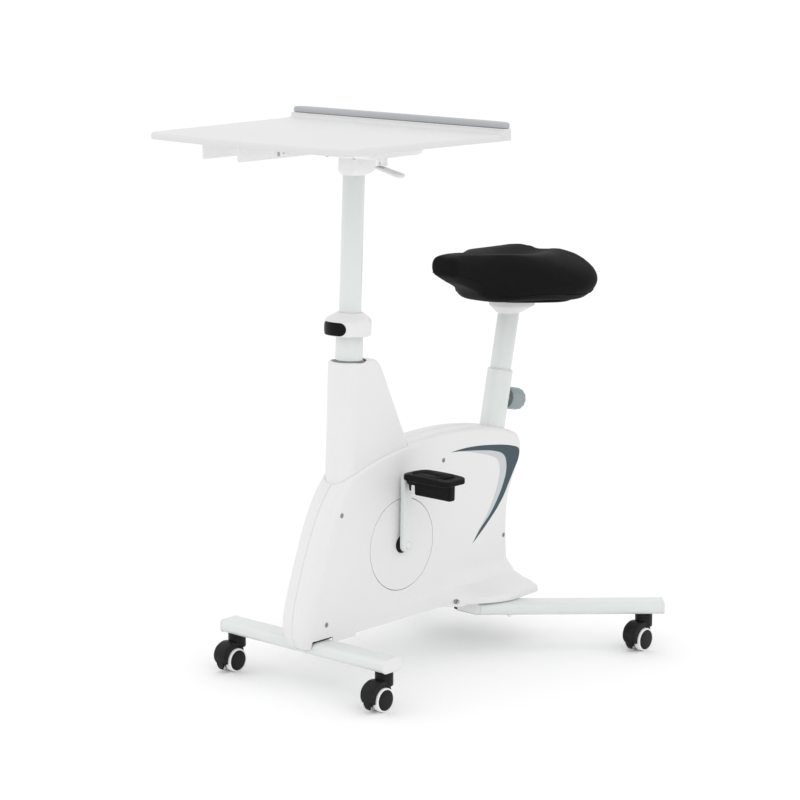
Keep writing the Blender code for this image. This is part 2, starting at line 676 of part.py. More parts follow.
def housing_outline():
    """Side view points with the edge round of each, front, over the top and down the rear."""
    outline = []
    front = smooth_curve(FRONT_EDGE, 2)[:-1]
    top = smooth_curve(TOP_EDGE, 1)[:-1]
    rear = smooth_curve(REAR_EDGE, 2)
    for i, point in enumerate(front):
        fade = max(0.0, (i - len(front) * 0.6) / (len(front) * 0.4))
        outline.append((point, FRONT_EDGE_ROUND + (TOP_EDGE_ROUND - FRONT_EDGE_ROUND) * fade))
    for point in top + rear:
        outline.append((point, TOP_EDGE_ROUND))
    return outline


def inward_normals(points):
    """Unit normals of an open clockwise outline, pointing into it."""
    normals = []
    for i in range(len(points)):
        ahead = Vector(points[min(i + 1, len(points) - 1)]) - Vector(points[max(i - 1, 0)])
        normals.append(Vector((ahead.y, -ahead.x)).normalized())
    return normals


def housing_half():
    """The left half shell, closed except at the seam and below, before its openings are cut."""
    outline = housing_outline()
    points = [point for point, _ in outline]
    normals = inward_normals(points)
    bm = bmesh.new()
    rings = []
    seam = HOUSING_SEAM_GAP / 2
    levels = [None] + [90.0 * i / EDGE_STEPS for i in range(EDGE_STEPS + 1)]
    for level in levels:
        ring = []
        for (point, edge), normal in zip(outline, normals):
            if level is None:
                x = seam
                inset = 0.0
            else:
                x = HOUSING_HALF_WIDTH - edge + edge * math.sin(math.radians(level))
                inset = edge * (1.0 - math.cos(math.radians(level)))
            y = point[0] + normal.x * inset
            z = point[1] + normal.y * inset
            ring.append(bm.verts.new((x, y, z)))
        rings.append(ring)
    edges = []
    for ring in rings:
        edges.append([bm.edges.new((a, b)) for a, b in zip(ring, ring[1:])])
    for low, high in zip(edges, edges[1:]):
        bmesh.ops.bridge_loops(bm, edges=low + high)
    bm.faces.new(rings[-1])
    # Level and upright cuts give the flat side the points that its skirt is shaped with.
    cuts_z = [z for z, _ in SKIRT_RISE[1:]]
    cuts_y = [SKIRT_START_Y + (SKIRT_TIP_Y - SKIRT_START_Y) * i / 4 for i in range(4)]
    for z in cuts_z:
        bmesh.ops.bisect_plane(bm, geom=bm.verts[:] + bm.edges[:] + bm.faces[:], dist=0.0001,
                               plane_co=(0.0, 0.0, z), plane_no=(0.0, 0.0, 1.0))
    for y in cuts_y:
        bmesh.ops.bisect_plane(bm, geom=bm.verts[:] + bm.edges[:] + bm.faces[:], dist=0.0001,
                               plane_co=(0.0, y, 0.0), plane_no=(0.0, 1.0, 0.0))
    for vert in bm.verts:
        share = (vert.co.x - seam) / (HOUSING_HALF_WIDTH - seam)
        vert.co.x += share * skirt_spread(vert.co.y, vert.co.z)
    bmesh.ops.recalc_face_normals(bm, faces=bm.faces)
    mesh = bpy.data.meshes.new("housing_half")
    bm.to_mesh(mesh)
    bm.free()
    return mesh


def thickened(mesh, wall):
    """An open surface given a wall towards its inside."""
    obj = bpy.data.objects.new("skin", mesh)
    cutters.objects.link(obj)
    solidify = obj.modifiers.new("Wall", "SOLIDIFY")
    solidify.thickness = wall
    solidify.offset = -1.0
    solidify.use_even_offset = False
    bpy.context.view_layer.update()
    return evaluated_mesh(obj)


def housing_floor_cutter():
    """Everything below the housing's lower edge, with the notch over the front bar."""
    notch_y = BAR_DEPTH / 2 + 0.0025
    notch_z = BAR_TOP + 0.0035
    step_y = SKIRT_START_Y + 0.040
    low = 0.05
    outline = [(-0.2, low), (-0.2, TOE_BOTTOM), (-notch_y, TOE_BOTTOM), (-notch_y, notch_z),
               (notch_y, notch_z), (notch_y, TOE_BOTTOM), (TOE_REAR_Y, TOE_BOTTOM),
               (TOE_REAR_Y + 0.008, HOUSING_BOTTOM), (step_y, HOUSING_BOTTOM),
               (step_y + 0.006, SKIRT_BOTTOM), (0.9, SKIRT_BOTTOM), (0.9, low)]
    return plate([outline], 0.6, SIDE_VIEW)


def column_section(z):
    """Front and rear edge of the column cover at a height."""
    down = (COLUMN_TOP - z) / (COLUMN_TOP - COLUMN_FOOT)
    front = COLUMN_FRONT_TOP + (COLUMN_FRONT_FOOT - COLUMN_FRONT_TOP) * down
    rear = COLUMN_REAR_TOP + (COLUMN_REAR_FOOT - COLUMN_REAR_TOP) * down
    up = min(1.0, max(0.0, 1.0 - (COLUMN_TOP - z) / COLUMN_REAR_ROUND))
    return front, rear - COLUMN_REAR_ROUND * (1.0 - math.sqrt(1.0 - up * up))


def column_ring(z, spread, steps=4):
    """Plan outline of the column cover: a nearly round front and tight rear corners."""
    front, rear = column_section(z)
    half = COLUMN_HALF_WIDTH
    front_round = half - 0.006
    rear_round = 0.014
    points = []
    corners = ((half - rear_round, rear - rear_round, rear_round, 0.0),
               (rear_round - half, rear - rear_round, rear_round, 90.0),
               (front_round - half, front + front_round, front_round, 180.0),
               (half - front_round, front + front_round, front_round, 270.0))
    for x, y, radius, start in corners:
        points += arc((x, y), radius + spread, start, start + 90.0, steps)
    return [(x, y, z) for x, y in points]


def column_skin(spread, foot, top, closed):
    """The column cover's outside as a loft of plan outlines, with a rounded top edge."""
    bm = bmesh.new()
    heights = [foot, top - COLUMN_REAR_ROUND]
    if not closed:
        heights += [top - 0.5 * COLUMN_REAR_ROUND, top - 0.0045]
    rings = [column_ring(z, spread) for z in heights]
    if not closed:
        rings.append(column_ring(top - 0.002, spread - 0.0012))
    rings.append([(x, y, top) for x, y, z in column_ring(top - 0.0015, spread - (0.0 if closed else 0.0035))])
    loops = []
    for ring in rings:
        verts = [bm.verts.new(point) for point in ring]
        loops.append([bm.edges.new((verts[i - 1], verts[i])) for i in range(len(verts))])
        last = verts
        if len(loops) == 1:
            first = verts
    for low, high in zip(loops, loops[1:]):
        bmesh.ops.bridge_loops(bm, edges=low + high)
    bm.faces.new(last)
    if closed:
        bm.faces.new(first)
    bmesh.ops.recalc_face_normals(bm, faces=bm.faces)
    mesh = bpy.data.meshes.new("column")
    bm.to_mesh(mesh)
    bm.free()
    return mesh


def leaning_cutter(radius, bottom, top, foot_y, lean):
    """A round cutter along the post's or the seat tube's axis, in the bike's directions."""
    shaft = rod(radius, bottom, top, 24)
    return moved(shaft, (0.0, foot_y, 0.0), -lean, "X")


def build_housing():
    half = thickened(housing_half(), HOUSING_WALL)
    crank_opening = rod(CRANK_COVER_RADIUS + 2 * COVER_FIT, 0.0, 0.2, 28, SIDE_VIEW,
                        (0.0, CRANK_Y, CRANK_Z))
    column_opening = column_skin(COVER_FIT, COLUMN_FOOT - 0.004, COLUMN_TOP, True)
    seat_opening = leaning_cutter(SEAT_OUTER_RADIUS + COVER_FIT, 0.44, 0.70, SEAT_FOOT_Y, SEAT_LEAN)
    half = cut(half, housing_floor_cutter(), crank_opening, column_opening, seat_opening)
    piece("housing_left", half, WHITE_PLASTIC)
    piece("housing_right", mirrored(half), WHITE_PLASTIC)

    column = thickened(column_skin(0.0, COLUMN_FOOT, COLUMN_TOP, False), COLUMN_WALL)
    mouth = leaning_cutter(POST_OUTER_RADIUS + COLUMN_MOUTH_GAP, 0.60, 0.80, POST_FOOT_Y, POST_LEAN)
    piece("column_cover", cut(column, mouth), WHITE_PLASTIC)

    edge = 0.0012
    inner = SEAL_RADIUS + COVER_FIT
    outer = CRANK_COVER_RADIUS
    face = HOUSING_HALF_WIDTH
    back = HOUSING_HALF_WIDTH - HOUSING_WALL
    cover = turned([(outer - edge, face), (outer, face - edge), (outer, back), (inner, back), (inner, face)],
                   28, SIDE_VIEW)
    piece("crank_cover_left", cover, WHITE_PLASTIC, CRANK_AXIS)
    piece("crank_cover_right", mirrored(cover), WHITE_PLASTIC, CRANK_AXIS)
    seal_bore = CRANK_AXLE_RADIUS + 2 * TURN_FIT
    proud = HOUSING_HALF_WIDTH + SEAL_PROUD
    seal = turned([(SEAL_RADIUS - 0.0015, proud), (SEAL_RADIUS, proud - 0.0015), (SEAL_RADIUS, back - 0.002),
                   (seal_bore, back - 0.002), (seal_bore, proud)], 16, SIDE_VIEW)
    piece("crank_seal_left", seal, BLACK_RUBBER, CRANK_AXIS)
    piece("crank_seal_right", mirrored(seal), BLACK_RUBBER, CRANK_AXIS)


# Drive

def pedal_spindle_end():
    """How far out the pedal spindle reaches inside the pedal's web."""
    return CRANK_INNER_X + CRANK_THICKNESS + PEDAL_SIDE_GAP + PEDAL_WEB_START + PEDAL_WEB_LENGTH * 0.86


def crank_mesh():
    """The left crank with its pedal spindle, about the crank axle, arm up."""
    boss = arc((0.0, 0.0), CRANK_BOSS_RADIUS, 180.0, 360.0, 8)
    tip = arc((0.0, CRANK_LENGTH), CRANK_TIP_RADIUS, 0.0, 180.0, 6)
    mid_x = CRANK_INNER_X + CRANK_THICKNESS / 2
    arm = plate([boss + tip], CRANK_THICKNESS, SIDE_VIEW, (mid_x, 0.0, 0.0))
    arm = softened(arm, 0.0015, 1, 50.0)
    bore = rod(CRANK_AXLE_RADIUS + TOUCH, CRANK_INNER_X - 0.01, CRANK_INNER_X + CRANK_THICKNESS + 0.01,
               16, SIDE_VIEW)
    spindle = rod(SPINDLE_RADIUS, CRANK_INNER_X + 0.004,
                  pedal_spindle_end(), 12, SIDE_VIEW, (0.0, 0.0, CRANK_LENGTH))
    return joined(cut(arm, bore), spindle)


def pedal_mesh():
    """A pedal about its spindle: crowned tread plate over a web that holds the spindle."""
    half = PEDAL_DEPTH / 2
    top = PEDAL_PLATE_Z + PEDAL_PLATE
    web = PEDAL_WEB / 2
    outline = [(half - 0.002, PEDAL_PLATE_Z + 0.001), (half, PEDAL_PLATE_Z + 0.003), (half, top - 0.003)]
    for i in range(7):
        y = (half - 0.0025) * math.cos(math.pi * i / 6)
        outline.append((y, top + PEDAL_CROWN * (1.0 - (y / half) ** 2)))
    outline += [(-half, top - 0.003), (-half, PEDAL_PLATE_Z + 0.003), (0.002 - half, PEDAL_PLATE_Z + 0.001),
                (0.0, PEDAL_PLATE_Z)]
    inner_x = CRANK_INNER_X + CRANK_THICKNESS + PEDAL_SIDE_GAP
    body = plate([outline], PEDAL_LENGTH, SIDE_VIEW, (inner_x + PEDAL_LENGTH / 2, 0.0, 0.0))
    # The plan of the tread plate is rounded at its four corners.
    plan = plate([rounded_box(PEDAL_LENGTH, PEDAL_DEPTH, 0.015, 3, (inner_x + PEDAL_LENGTH / 2, 0.0))], 0.2)
    body = combined(body, [plan], "INTERSECT")
    body = softened(body, 0.0012, 1, 60.0)
    web_x = inner_x + PEDAL_WEB_START + PEDAL_WEB_LENGTH / 2
    web_height = PEDAL_WEB_DROP + PEDAL_PLATE_Z + 0.002
    post = plate([rounded_box(PEDAL_WEB_LENGTH, 2 * web, 0.005, 3, (web_x, 0.0))], web_height, None,
                 (0.0, 0.0, web_height / 2 - PEDAL_WEB_DROP))
    body = joined(body, post)
    bore = rod(SPINDLE_RADIUS + TURN_FIT, inner_x + PEDAL_WEB_START - 0.01, pedal_spindle_end() + 0.001, 16,
               SIDE_VIEW)
    return cut(body, bore)


def build_drive():
    end = CRANK_INNER_X + CRANK_THICKNESS - TOUCH
    axle = rod(CRANK_AXLE_RADIUS, -end, end, 16, SIDE_VIEW)
    piece("crank_axle", axle, STEEL, CRANK_AXIS)
    crank = crank_mesh()
    piece("crank_left", crank, WHITE_PAINT, CRANK_AXIS)
    piece("crank_right", crank.copy(), WHITE_PAINT, CRANK_AXIS, rotation=(math.pi, 0.0, math.pi))
    low = BELT_PLANE_X - PULLEY_WIDTH / 2
    high = BELT_PLANE_X + PULLEY_WIDTH / 2
    bore = CRANK_AXLE_RADIUS + TOUCH
    rim = PULLEY_RADIUS - 0.006
    groove = PULLEY_RADIUS
    profile = [(groove, high), (groove, low), (rim, low),
               (rim, BELT_PLANE_X - 0.002), (0.020, BELT_PLANE_X - 0.002), (0.020, low), (bore, low),
               (bore, BELT_PLANE_X + 0.002), (rim, BELT_PLANE_X + 0.002), (rim, high)]
    holes = []
    for i in range(5):
        angle = math.radians(72.0 * i + 31.0)
        place = (0.0, 0.057 * math.cos(angle), 0.057 * math.sin(angle))
        holes.append(rod(0.020, low, high, 8, SIDE_VIEW, place))
    piece("drive_pulley", cut(turned(profile, 24, SIDE_VIEW), *holes), BLACK_PLASTIC, CRANK_AXIS)

    inner = CRANK_AXLE_RADIUS + TURN_FIT
    for name, x in (("bearing_left", BRACKET_LEFT_X - BEARING_WIDTH), ("bearing_right", BRACKET_RIGHT_X)):
        ring = turned([(BRACKET_BORE - TOUCH, x + BEARING_WIDTH), (BRACKET_BORE - TOUCH, x),
                       (inner, x), (inner, x + BEARING_WIDTH)], 16, SIDE_VIEW)
        piece(name, ring, STEEL, CRANK_AXIS)

    pedal = pedal_mesh()
    piece("pedal_left", pedal, BLACK_PLASTIC, CRANK_AXIS, (0.0, 0.0, CRANK_LENGTH))
    piece("pedal_right", mirrored(pedal), BLACK_PLASTIC, CRANK_AXIS, (0.0, 0.0, -CRANK_LENGTH))

    hub = 0.014
    bore = FLYWHEEL_AXLE_RADIUS + TURN_FIT
    inset = 0.005
    rim_inside = FLYWHEEL_RADIUS - 0.022
    wheel = [(SMALL_PULLEY_RADIUS, high), (SMALL_PULLEY_RADIUS, low), (hub, low),
             (hub, FLYWHEEL_INNER_X - inset),
             (rim_inside, FLYWHEEL_INNER_X - inset), (rim_inside, FLYWHEEL_INNER_X),
             (FLYWHEEL_RADIUS, FLYWHEEL_INNER_X), (FLYWHEEL_RADIUS, FLYWHEEL_OUTER_X),
             (rim_inside, FLYWHEEL_OUTER_X), (rim_inside, FLYWHEEL_OUTER_X + inset),
             (hub, FLYWHEEL_OUTER_X + inset), (hub, FLYWHEEL_OUTER_X), (bore, FLYWHEEL_OUTER_X),
             (bore, high)]
    piece("flywheel", turned(wheel, 24, SIDE_VIEW), STEEL, FLYWHEEL_AXIS)
    build_belt(groove)

    shoe_inside = FLYWHEEL_RADIUS + MAGNET_GAP
    shoe_outside = shoe_inside + MAGNET_THICKNESS
    centre = (FLYWHEEL_Y, FLYWHEEL_Z)
    outline = arc(centre, shoe_outside, 300.0, 282.0, 3)
    outline += [(FLYWHEEL_Y + 0.024, BEAM_TOP + TOUCH), (FLYWHEEL_Y - 0.024, BEAM_TOP + TOUCH)]
    outline += arc(centre, shoe_outside, 258.0, 240.0, 3) + arc(centre, shoe_inside, 240.0, 300.0, 8)
    piece("magnet_bracket", side_plate(outline, FLYWHEEL_OUTER_X + 0.001, FLYWHEEL_INNER_X - 0.001), STEEL)


def belt_loop(big, small, steps=18):
    """Outline of a belt round the crank pulley and the flywheel's small pulley."""
    start = Vector((CRANK_Y, CRANK_Z))
    end = Vector((FLYWHEEL_Y, FLYWHEEL_Z))
    line = end - start
    heading = math.degrees(math.atan2(line.y, line.x))
    wrap = math.degrees(math.acos((big - small) / line.length))
    # The points stand out a little, so that the straight steps between them clear the pulleys.
    big /= math.cos(math.radians(180.0 - wrap) / steps)
    small /= math.cos(math.radians(wrap) / (steps // 2))
    points = arc(tuple(start), big, heading + wrap, heading + 360.0 - wrap, steps)
    points += arc(tuple(end), small, heading - wrap, heading + wrap, steps // 2)
    return points


def build_belt(groove):
    inside = belt_loop(groove + TOUCH, SMALL_PULLEY_RADIUS + TOUCH)
    outside = belt_loop(groove + TOUCH + BELT_THICKNESS, SMALL_PULLEY_RADIUS + TOUCH + BELT_THICKNESS)
    belt = plate([outside, inside], BELT_WIDTH, SIDE_VIEW, (BELT_PLANE_X, 0.0, 0.0))
    piece("drive_belt", belt, BLACK_RUBBER)


# Desk post

def standing_tube(outer, inner, top, foot_y, lean):
    """A leaning tube whose foot is cut level on the beam, in the bike's directions."""
    shaft = moved(tube(outer, inner, 0.10, top), (0.0, foot_y, 0.0), -lean, "X")
    level = BEAM_TOP + TOUCH
    return cut(shaft, block((0.3, 0.6, 0.2), (0.0, foot_y, level - 0.1)))


def build_post():
    outer = standing_tube(POST_OUTER_RADIUS, POST_OUTER_RADIUS - TUBE_WALL, POST_TUBE_TOP,
                          POST_FOOT_Y, POST_LEAN)
    piece("post_outer_tube", outer, WHITE_PAINT)

    guide = POST_INNER_RADIUS + SLIDE_FIT
    seat_on_tube = POST_OUTER_RADIUS + TOUCH
    profile = [(COLLAR_MOUTH_RADIUS, COLLAR_TOP), (COLLAR_RADIUS - 0.005, COLLAR_SHOULDER + 0.003),
               (COLLAR_RADIUS, COLLAR_SHOULDER - 0.003), (COLLAR_RADIUS, COLLAR_BOTTOM + 0.003),
               (COLLAR_RADIUS - 0.003, COLLAR_BOTTOM), (seat_on_tube, COLLAR_BOTTOM), (seat_on_tube, POST_TUBE_TOP + TOUCH),
               (guide, POST_TUBE_TOP + TOUCH), (guide, COLLAR_TOP)]
    piece("post_collar", turned(profile, 24), WHITE_PLASTIC, POST_AXIS)

    head_top = CARRIAGE_BOTTOM - TOUCH
    inner_top = (head_top - 0.008) / math.cos(POST_LEAN)
    inner = tube(POST_INNER_RADIUS, POST_INNER_RADIUS - TUBE_WALL, POST_INNER_FOOT, inner_top)
    piece("post_inner_tube", inner, WHITE_PAINT, POST_AXIS)

    foot = (BEAM_TOP + 0.002) / math.cos(POST_LEAN)
    bore = SPRING_ROD_RADIUS + SLIDE_FIT
    room = SPRING_RADIUS - SPRING_WALL
    cylinder = turned([(0.0, SPRING_BORE_FOOT), (room, SPRING_BORE_FOOT), (room, SPRING_TOP - SPRING_GUIDE),
                       (bore, SPRING_TOP - SPRING_GUIDE), (bore, SPRING_TOP),
                       (SPRING_RADIUS - 0.001, SPRING_TOP), (SPRING_RADIUS, SPRING_TOP - 0.001),
                       (SPRING_RADIUS, foot), (0.0, foot)], 14)
    piece("gas_spring_cylinder", cylinder, STEEL, POST_AXIS)
    rod_top = inner_top - 0.0005
    piece("gas_spring_rod", rod(SPRING_ROD_RADIUS, SPRING_ROD_FOOT, rod_top, 16), STEEL, POST_AXIS)
    build_head(head_top, inner_top)


def build_head(head_top, inner_top):
    """The cast head that clamps the inner tube under the carriage."""
    mid_y = POST_FOOT_Y + (HEAD_BOTTOM + head_top) / 2 * math.tan(POST_LEAN)
    tube_y = POST_FOOT_Y + HEAD_BOTTOM * math.tan(POST_LEAN)
    wall = POST_INNER_RADIUS + 0.004
    bm = bmesh.new()
    shoulder = HEAD_BOTTOM + 0.012
    sections = ((HEAD_BOTTOM, 2 * wall, 2 * wall, 0.026, tube_y),
                (HEAD_BOTTOM + 0.003, 2 * wall + 0.003, 2 * wall + 0.005, 0.026, tube_y + 0.001),
                (shoulder, HEAD_WIDTH, HEAD_DEPTH, 0.020, mid_y + HEAD_SHIFT / 2),
                (head_top, HEAD_WIDTH, HEAD_DEPTH, 0.016, mid_y + HEAD_SHIFT))
    loops = []
    rings = []
    for z, width, depth, radius, y in sections:
        ring = [bm.verts.new((px, py, z)) for px, py in rounded_box(width, depth, radius, 6, (0.0, y))]
        loops.append([bm.edges.new((ring[i - 1], ring[i])) for i in range(len(ring))])
        rings.append(ring)
    for low, high in zip(loops, loops[1:]):
        bmesh.ops.bridge_loops(bm, edges=low + high)
    bm.faces.new(rings[0])
    bm.faces.new(rings[-1])
    bmesh.ops.recalc_face_normals(bm, faces=bm.faces)
    head = bpy.data.meshes.new("head")
    bm.to_mesh(head)
    bm.free()
    socket = leaning_cutter(POST_INNER_RADIUS + TOUCH, 1.0, inner_top + TOUCH, POST_FOOT_Y, POST_LEAN)
    piece("head_bracket", cut(head, socket), WHITE_PAINT)


# Desk

def build_carriage():
    """The folded plate on the post's head, its two guide shoes and the lever's boss."""
    width = 2 * CARRIAGE_HALF_WIDTH
    depth = CARRIAGE_REAR_Y - CARRIAGE_FRONT_Y
    mid_y = (CARRIAGE_REAR_Y + CARRIAGE_FRONT_Y) / 2
    flat = plate([rounded_box(width, depth, 0.012, 4, (0.0, mid_y))], CARRIAGE_SHEET,
                 None, (0.0, 0.0, CARRIAGE_BOTTOM + CARRIAGE_SHEET / 2))
    shoe_top = CHANNEL_TOP - SHEET - SLIDE_FIT
    shoe_height = shoe_top - CARRIAGE_TOP + 0.001
    shoe_z = shoe_top - shoe_height / 2
    left_face = CHANNEL_RIGHT_X - SHEET - SLIDE_FIT
    right_face = RAIL_X + SLIDE_FIT
    shoes = []
    for inner, outer in ((left_face, -CARRIAGE_HALF_WIDTH), (right_face, CARRIAGE_HALF_WIDTH)):
        span = abs(outer - inner)
        middle = ((inner + outer) / 2, shoe_z)
        outline = rounded_box(span, shoe_height, 0.002, 1, middle)
        hollow = rounded_box(span - 2 * SHOE_WALL, shoe_height - 2 * SHOE_WALL, 0.001, 1, middle)
        shoes.append(plate([outline, hollow], depth - 0.012, FRONT_VIEW, (0.0, mid_y, 0.0)))
    boss_y = lever_pivot()[1]
    boss_z = CARRIAGE_BOTTOM - LEVER_BOSS_DROP / 2 + 0.0005
    boss = block((LEVER_BOSS_SIZE, LEVER_BOSS_SIZE - 0.004, LEVER_BOSS_DROP + 0.001),
                 (LEVER_BOSS_X, boss_y, boss_z))
    hole = rod(LEVER_PIN_RADIUS + TURN_FIT, -0.02, 0.02, 12, FRONT_VIEW, lever_pivot())
    carriage = cut(joined(flat, *shoes, boss), hole)
    piece("carriage", carriage, WHITE_PAINT)


def lever_pivot():
    return (LEVER_BOSS_X, POST_FOOT_Y + HEAD_BOTTOM * math.tan(POST_LEAN) + 0.006,
            CARRIAGE_BOTTOM - LEVER_BOSS_DROP + 0.006)


def build_lever():
    """The height lever: a drooping paddle forked round the boss, with its pin."""
    thickness = 0.005
    inner = -0.012
    paddle = plate([rounded_box(LEVER_LENGTH, LEVER_WIDTH, 0.010, 4, (inner + LEVER_LENGTH / 2, 0.0))],
                   thickness, None, (0.0, 0.0, -0.0115))
    paddle = softened(paddle, 0.0018, 1, 60.0)
    ears = []
    for side in (1, -1):
        ear_y = side * (LEVER_BOSS_SIZE / 2 + 0.0005)
        ear = [(0.006, -0.010), (0.006, 0.0)] + arc((0.0, 0.0), 0.006, 0.0, 180.0, 6) + [(-0.006, -0.010)]
        ears.append(plate([ear], 0.004, FRONT_VIEW, (0.0, ear_y, 0.0)))
    pin = rod(LEVER_PIN_RADIUS, -LEVER_BOSS_SIZE / 2, LEVER_BOSS_SIZE / 2, 12, FRONT_VIEW)
    lever = joined(paddle, *ears, pin)
    piece("height_lever", lever, WHITE_PLASTIC, location=lever_pivot(), rotation=(0.0, LEVER_DROOP, 0.0))


def desk_outline(inset=0.0, steps=4):
    """Plan of the tabletop: widest at the hand rest, drawn in and bowed towards its far edge."""
    rear = DESK_REAR_Y - inset
    front = DESK_FRONT_Y + DESK_BOW + inset
    half = DESK_WIDTH / 2 - inset
    taper = math.atan2((DESK_WIDTH - DESK_FRONT_WIDTH) / 2, DESK_DEPTH - DESK_BOW)
    radius = DESK_CORNER - inset
    corner_y = front + radius
    corner_x = half - (rear - corner_y) * math.tan(taper) - radius / math.cos(taper)
    turn = math.atan(2 * DESK_BOW / corner_x)
    corner = arc((corner_x, corner_y), radius, math.degrees(turn) - 90.0, -math.degrees(taper), steps)
    reach, edge_y = corner[0]
    right = [(reach * i / 5, front - DESK_BOW + (edge_y - front + DESK_BOW) * (i / 5) ** 2) for i in range(5)]
    radius = DESK_REAR_CORNER - inset
    rear_x = half - radius * math.tan(taper) - radius / math.cos(taper)
    right += corner + arc((rear_x, rear - radius), radius, -math.degrees(taper), 90.0, steps)
    return right + [(-x, y) for x, y in reversed(right[1:])]


def build_desk():
    board = plate([desk_outline()], DESK_THICKNESS, None, (0.0, 0.0, DESK_UNDERSIDE + DESK_THICKNESS / 2))
    board = softened(board, DESK_EDGE_ROUND, 2, 60.0)
    ledge_half = DESK_THICKNESS / 2
    ledge_height = LEDGE_HEIGHT + ledge_half
    ledge_front = DESK_REAR_Y - LEDGE_DEPTH
    ledge_size = (DESK_WIDTH - 0.002, LEDGE_DEPTH - 0.001)
    ledge_mid = (0.0, ledge_front + LEDGE_DEPTH / 2 - 0.0005)
    ledge = plate([rounded_box(*ledge_size, 0.006, 2, ledge_mid)], ledge_height, None,
                  (0.0, 0.0, DESK_TOP + LEDGE_HEIGHT - ledge_height / 2))
    # The hand rest's ledge may not stand past the board's own round corner.
    limit = plate([desk_outline(0.0003)], 0.2, None, (0.0, 0.0, DESK_TOP))
    ledge = combined(ledge, [limit], "INTERSECT")
    piece("tabletop", joined(board, ledge), WHITE_PLASTIC)

    pad = plate([rounded_box(DESK_WIDTH - 0.006, LEDGE_DEPTH - 0.003, 0.010, 3, ledge_mid)], PAD_HEIGHT,
                None, (0.0, 0.0, DESK_TOP + LEDGE_HEIGHT + TOUCH + PAD_HEIGHT / 2))
    pad = combined(pad, [plate([desk_outline(0.0015)], 0.3, None, (0.0, 0.0, DESK_TOP))], "INTERSECT")
    piece("wrist_pad", softened(pad, 0.0045, 2, 60.0), GREY_RUBBER)

    # One folded sheet under the board: a top web, two deep flanges and one shallow flange
    length = RAIL_END_Y - CHANNEL_FRONT_Y
    middle = (RAIL_END_Y + CHANNEL_FRONT_Y) / 2
    top = CHANNEL_TOP
    web = top - SHEET
    deep = top - CHANNEL_DEPTH
    shallow = top - RAIL_DEPTH
    outline = [(CHANNEL_LEFT_X, top), (CHANNEL_LEFT_X, deep), (CHANNEL_LEFT_X + SHEET, deep),
               (CHANNEL_LEFT_X + SHEET, web), (CHANNEL_RIGHT_X - SHEET, web), (CHANNEL_RIGHT_X - SHEET, deep),
               (CHANNEL_RIGHT_X, deep), (CHANNEL_RIGHT_X, web), (RAIL_X - SHEET, web),
               (RAIL_X - SHEET, shallow), (RAIL_X, shallow), (RAIL_X, top)]
    rails = plate([outline], length, FRONT_VIEW, (0.0, middle, 0.0))
    slots = []
    for y in (-0.044, -0.030):
        slots.append(block((0.012, 0.004, 0.016), (CHANNEL_RIGHT_X, y, deep + 0.014)))
    piece("slide_channel", cut(rails, *slots), WHITE_PAINT)


# Seat

def seat_point(up_tube):
    """Place on the seat axis at a distance up the tube, in the bike's directions."""
    return (0.0, SEAT_FOOT_Y + up_tube * math.sin(SEAT_LEAN), up_tube * math.cos(SEAT_LEAN))


def build_seat_tubes():
    outer = standing_tube(SEAT_OUTER_RADIUS, SEAT_OUTER_RADIUS - TUBE_WALL, SEAT_TUBE_TOP,
                          SEAT_FOOT_Y, SEAT_LEAN)
    guide = SEAT_INNER_RADIUS + SLIDE_FIT
    bush = tube(SEAT_OUTER_RADIUS - TUBE_WALL / 2, guide, SEAT_TUBE_TOP - 0.060, SEAT_TUBE_TOP - 0.002)
    bush = moved(bush, (0.0, SEAT_FOOT_Y, 0.0), -SEAT_LEAN, "X")
    knob_place = seat_point(KNOB_UP_TUBE)
    turn = -math.pi / 2 - SEAT_LEAN
    barrel = rod(BARREL_RADIUS, SEAT_OUTER_RADIUS - TUBE_WALL / 2, SEAT_OUTER_RADIUS + BARREL_LENGTH, 16)
    barrel = moved(barrel, knob_place, turn, "X")
    pin_hole = rod(SEAT_PIN_RADIUS + SLIDE_FIT, SEAT_INNER_RADIUS - 0.006, 0.08, 10)
    pin_hole = moved(pin_hole, knob_place, turn, "X")
    outer = cut(joined(outer, bush, barrel), pin_hole)
    piece("seat_outer_tube", outer, WHITE_PAINT)

    inner = tube(SEAT_INNER_RADIUS, SEAT_INNER_RADIUS - TUBE_WALL, SEAT_INNER_FOOT, SEAT_INNER_TOP)
    holes = []
    for i in range(-1, 5):
        hole = rod(SEAT_PIN_RADIUS + SLIDE_FIT, 0.0, 0.05, 8)
        place = (0.0, 0.0, KNOB_UP_TUBE - 0.030 * i)
        if SEAT_INNER_FOOT + 0.02 < place[2] < SEAT_TUBE_TOP - 0.02:
            holes.append(moved(hole, place, -math.pi / 2, "X"))
    piece("seat_inner_tube", cut(inner, *holes), WHITE_PAINT, SEAT_AXIS)
    build_knob(knob_place, turn)
    build_clamp()


def build_knob(place, turn):
    """The lobed pull knob with its lock pin, along the pin, which ends at the inner tube's side."""
    start = SEAT_OUTER_RADIUS + BARREL_LENGTH + 0.0015
    lobes = []
    for i in range(KNOB_LOBES * 4):
        angle = 2 * math.pi * i / (KNOB_LOBES * 4)
        radius = KNOB_RADIUS - 0.0022 + 0.0022 * math.cos(KNOB_LOBES * angle)
        lobes.append((radius * math.cos(angle), radius * math.sin(angle)))
    grip = plate([lobes], KNOB_LENGTH - 0.006, None, (0.0, 0.0, start + 0.006 + (KNOB_LENGTH - 0.006) / 2))
    grip = softened(grip, 0.003, 1, 60.0)
    neck = rod(KNOB_NECK_RADIUS, start, start + 0.008, 16)
    pin = rod(SEAT_PIN_RADIUS, SEAT_INNER_RADIUS + 2 * SLIDE_FIT, start + 0.004, 10)
    knob = joined(grip, neck, pin)
    piece("seat_knob", knob, KNOB_PLASTIC, location=place, rotation=(turn, 0.0, 0.0))


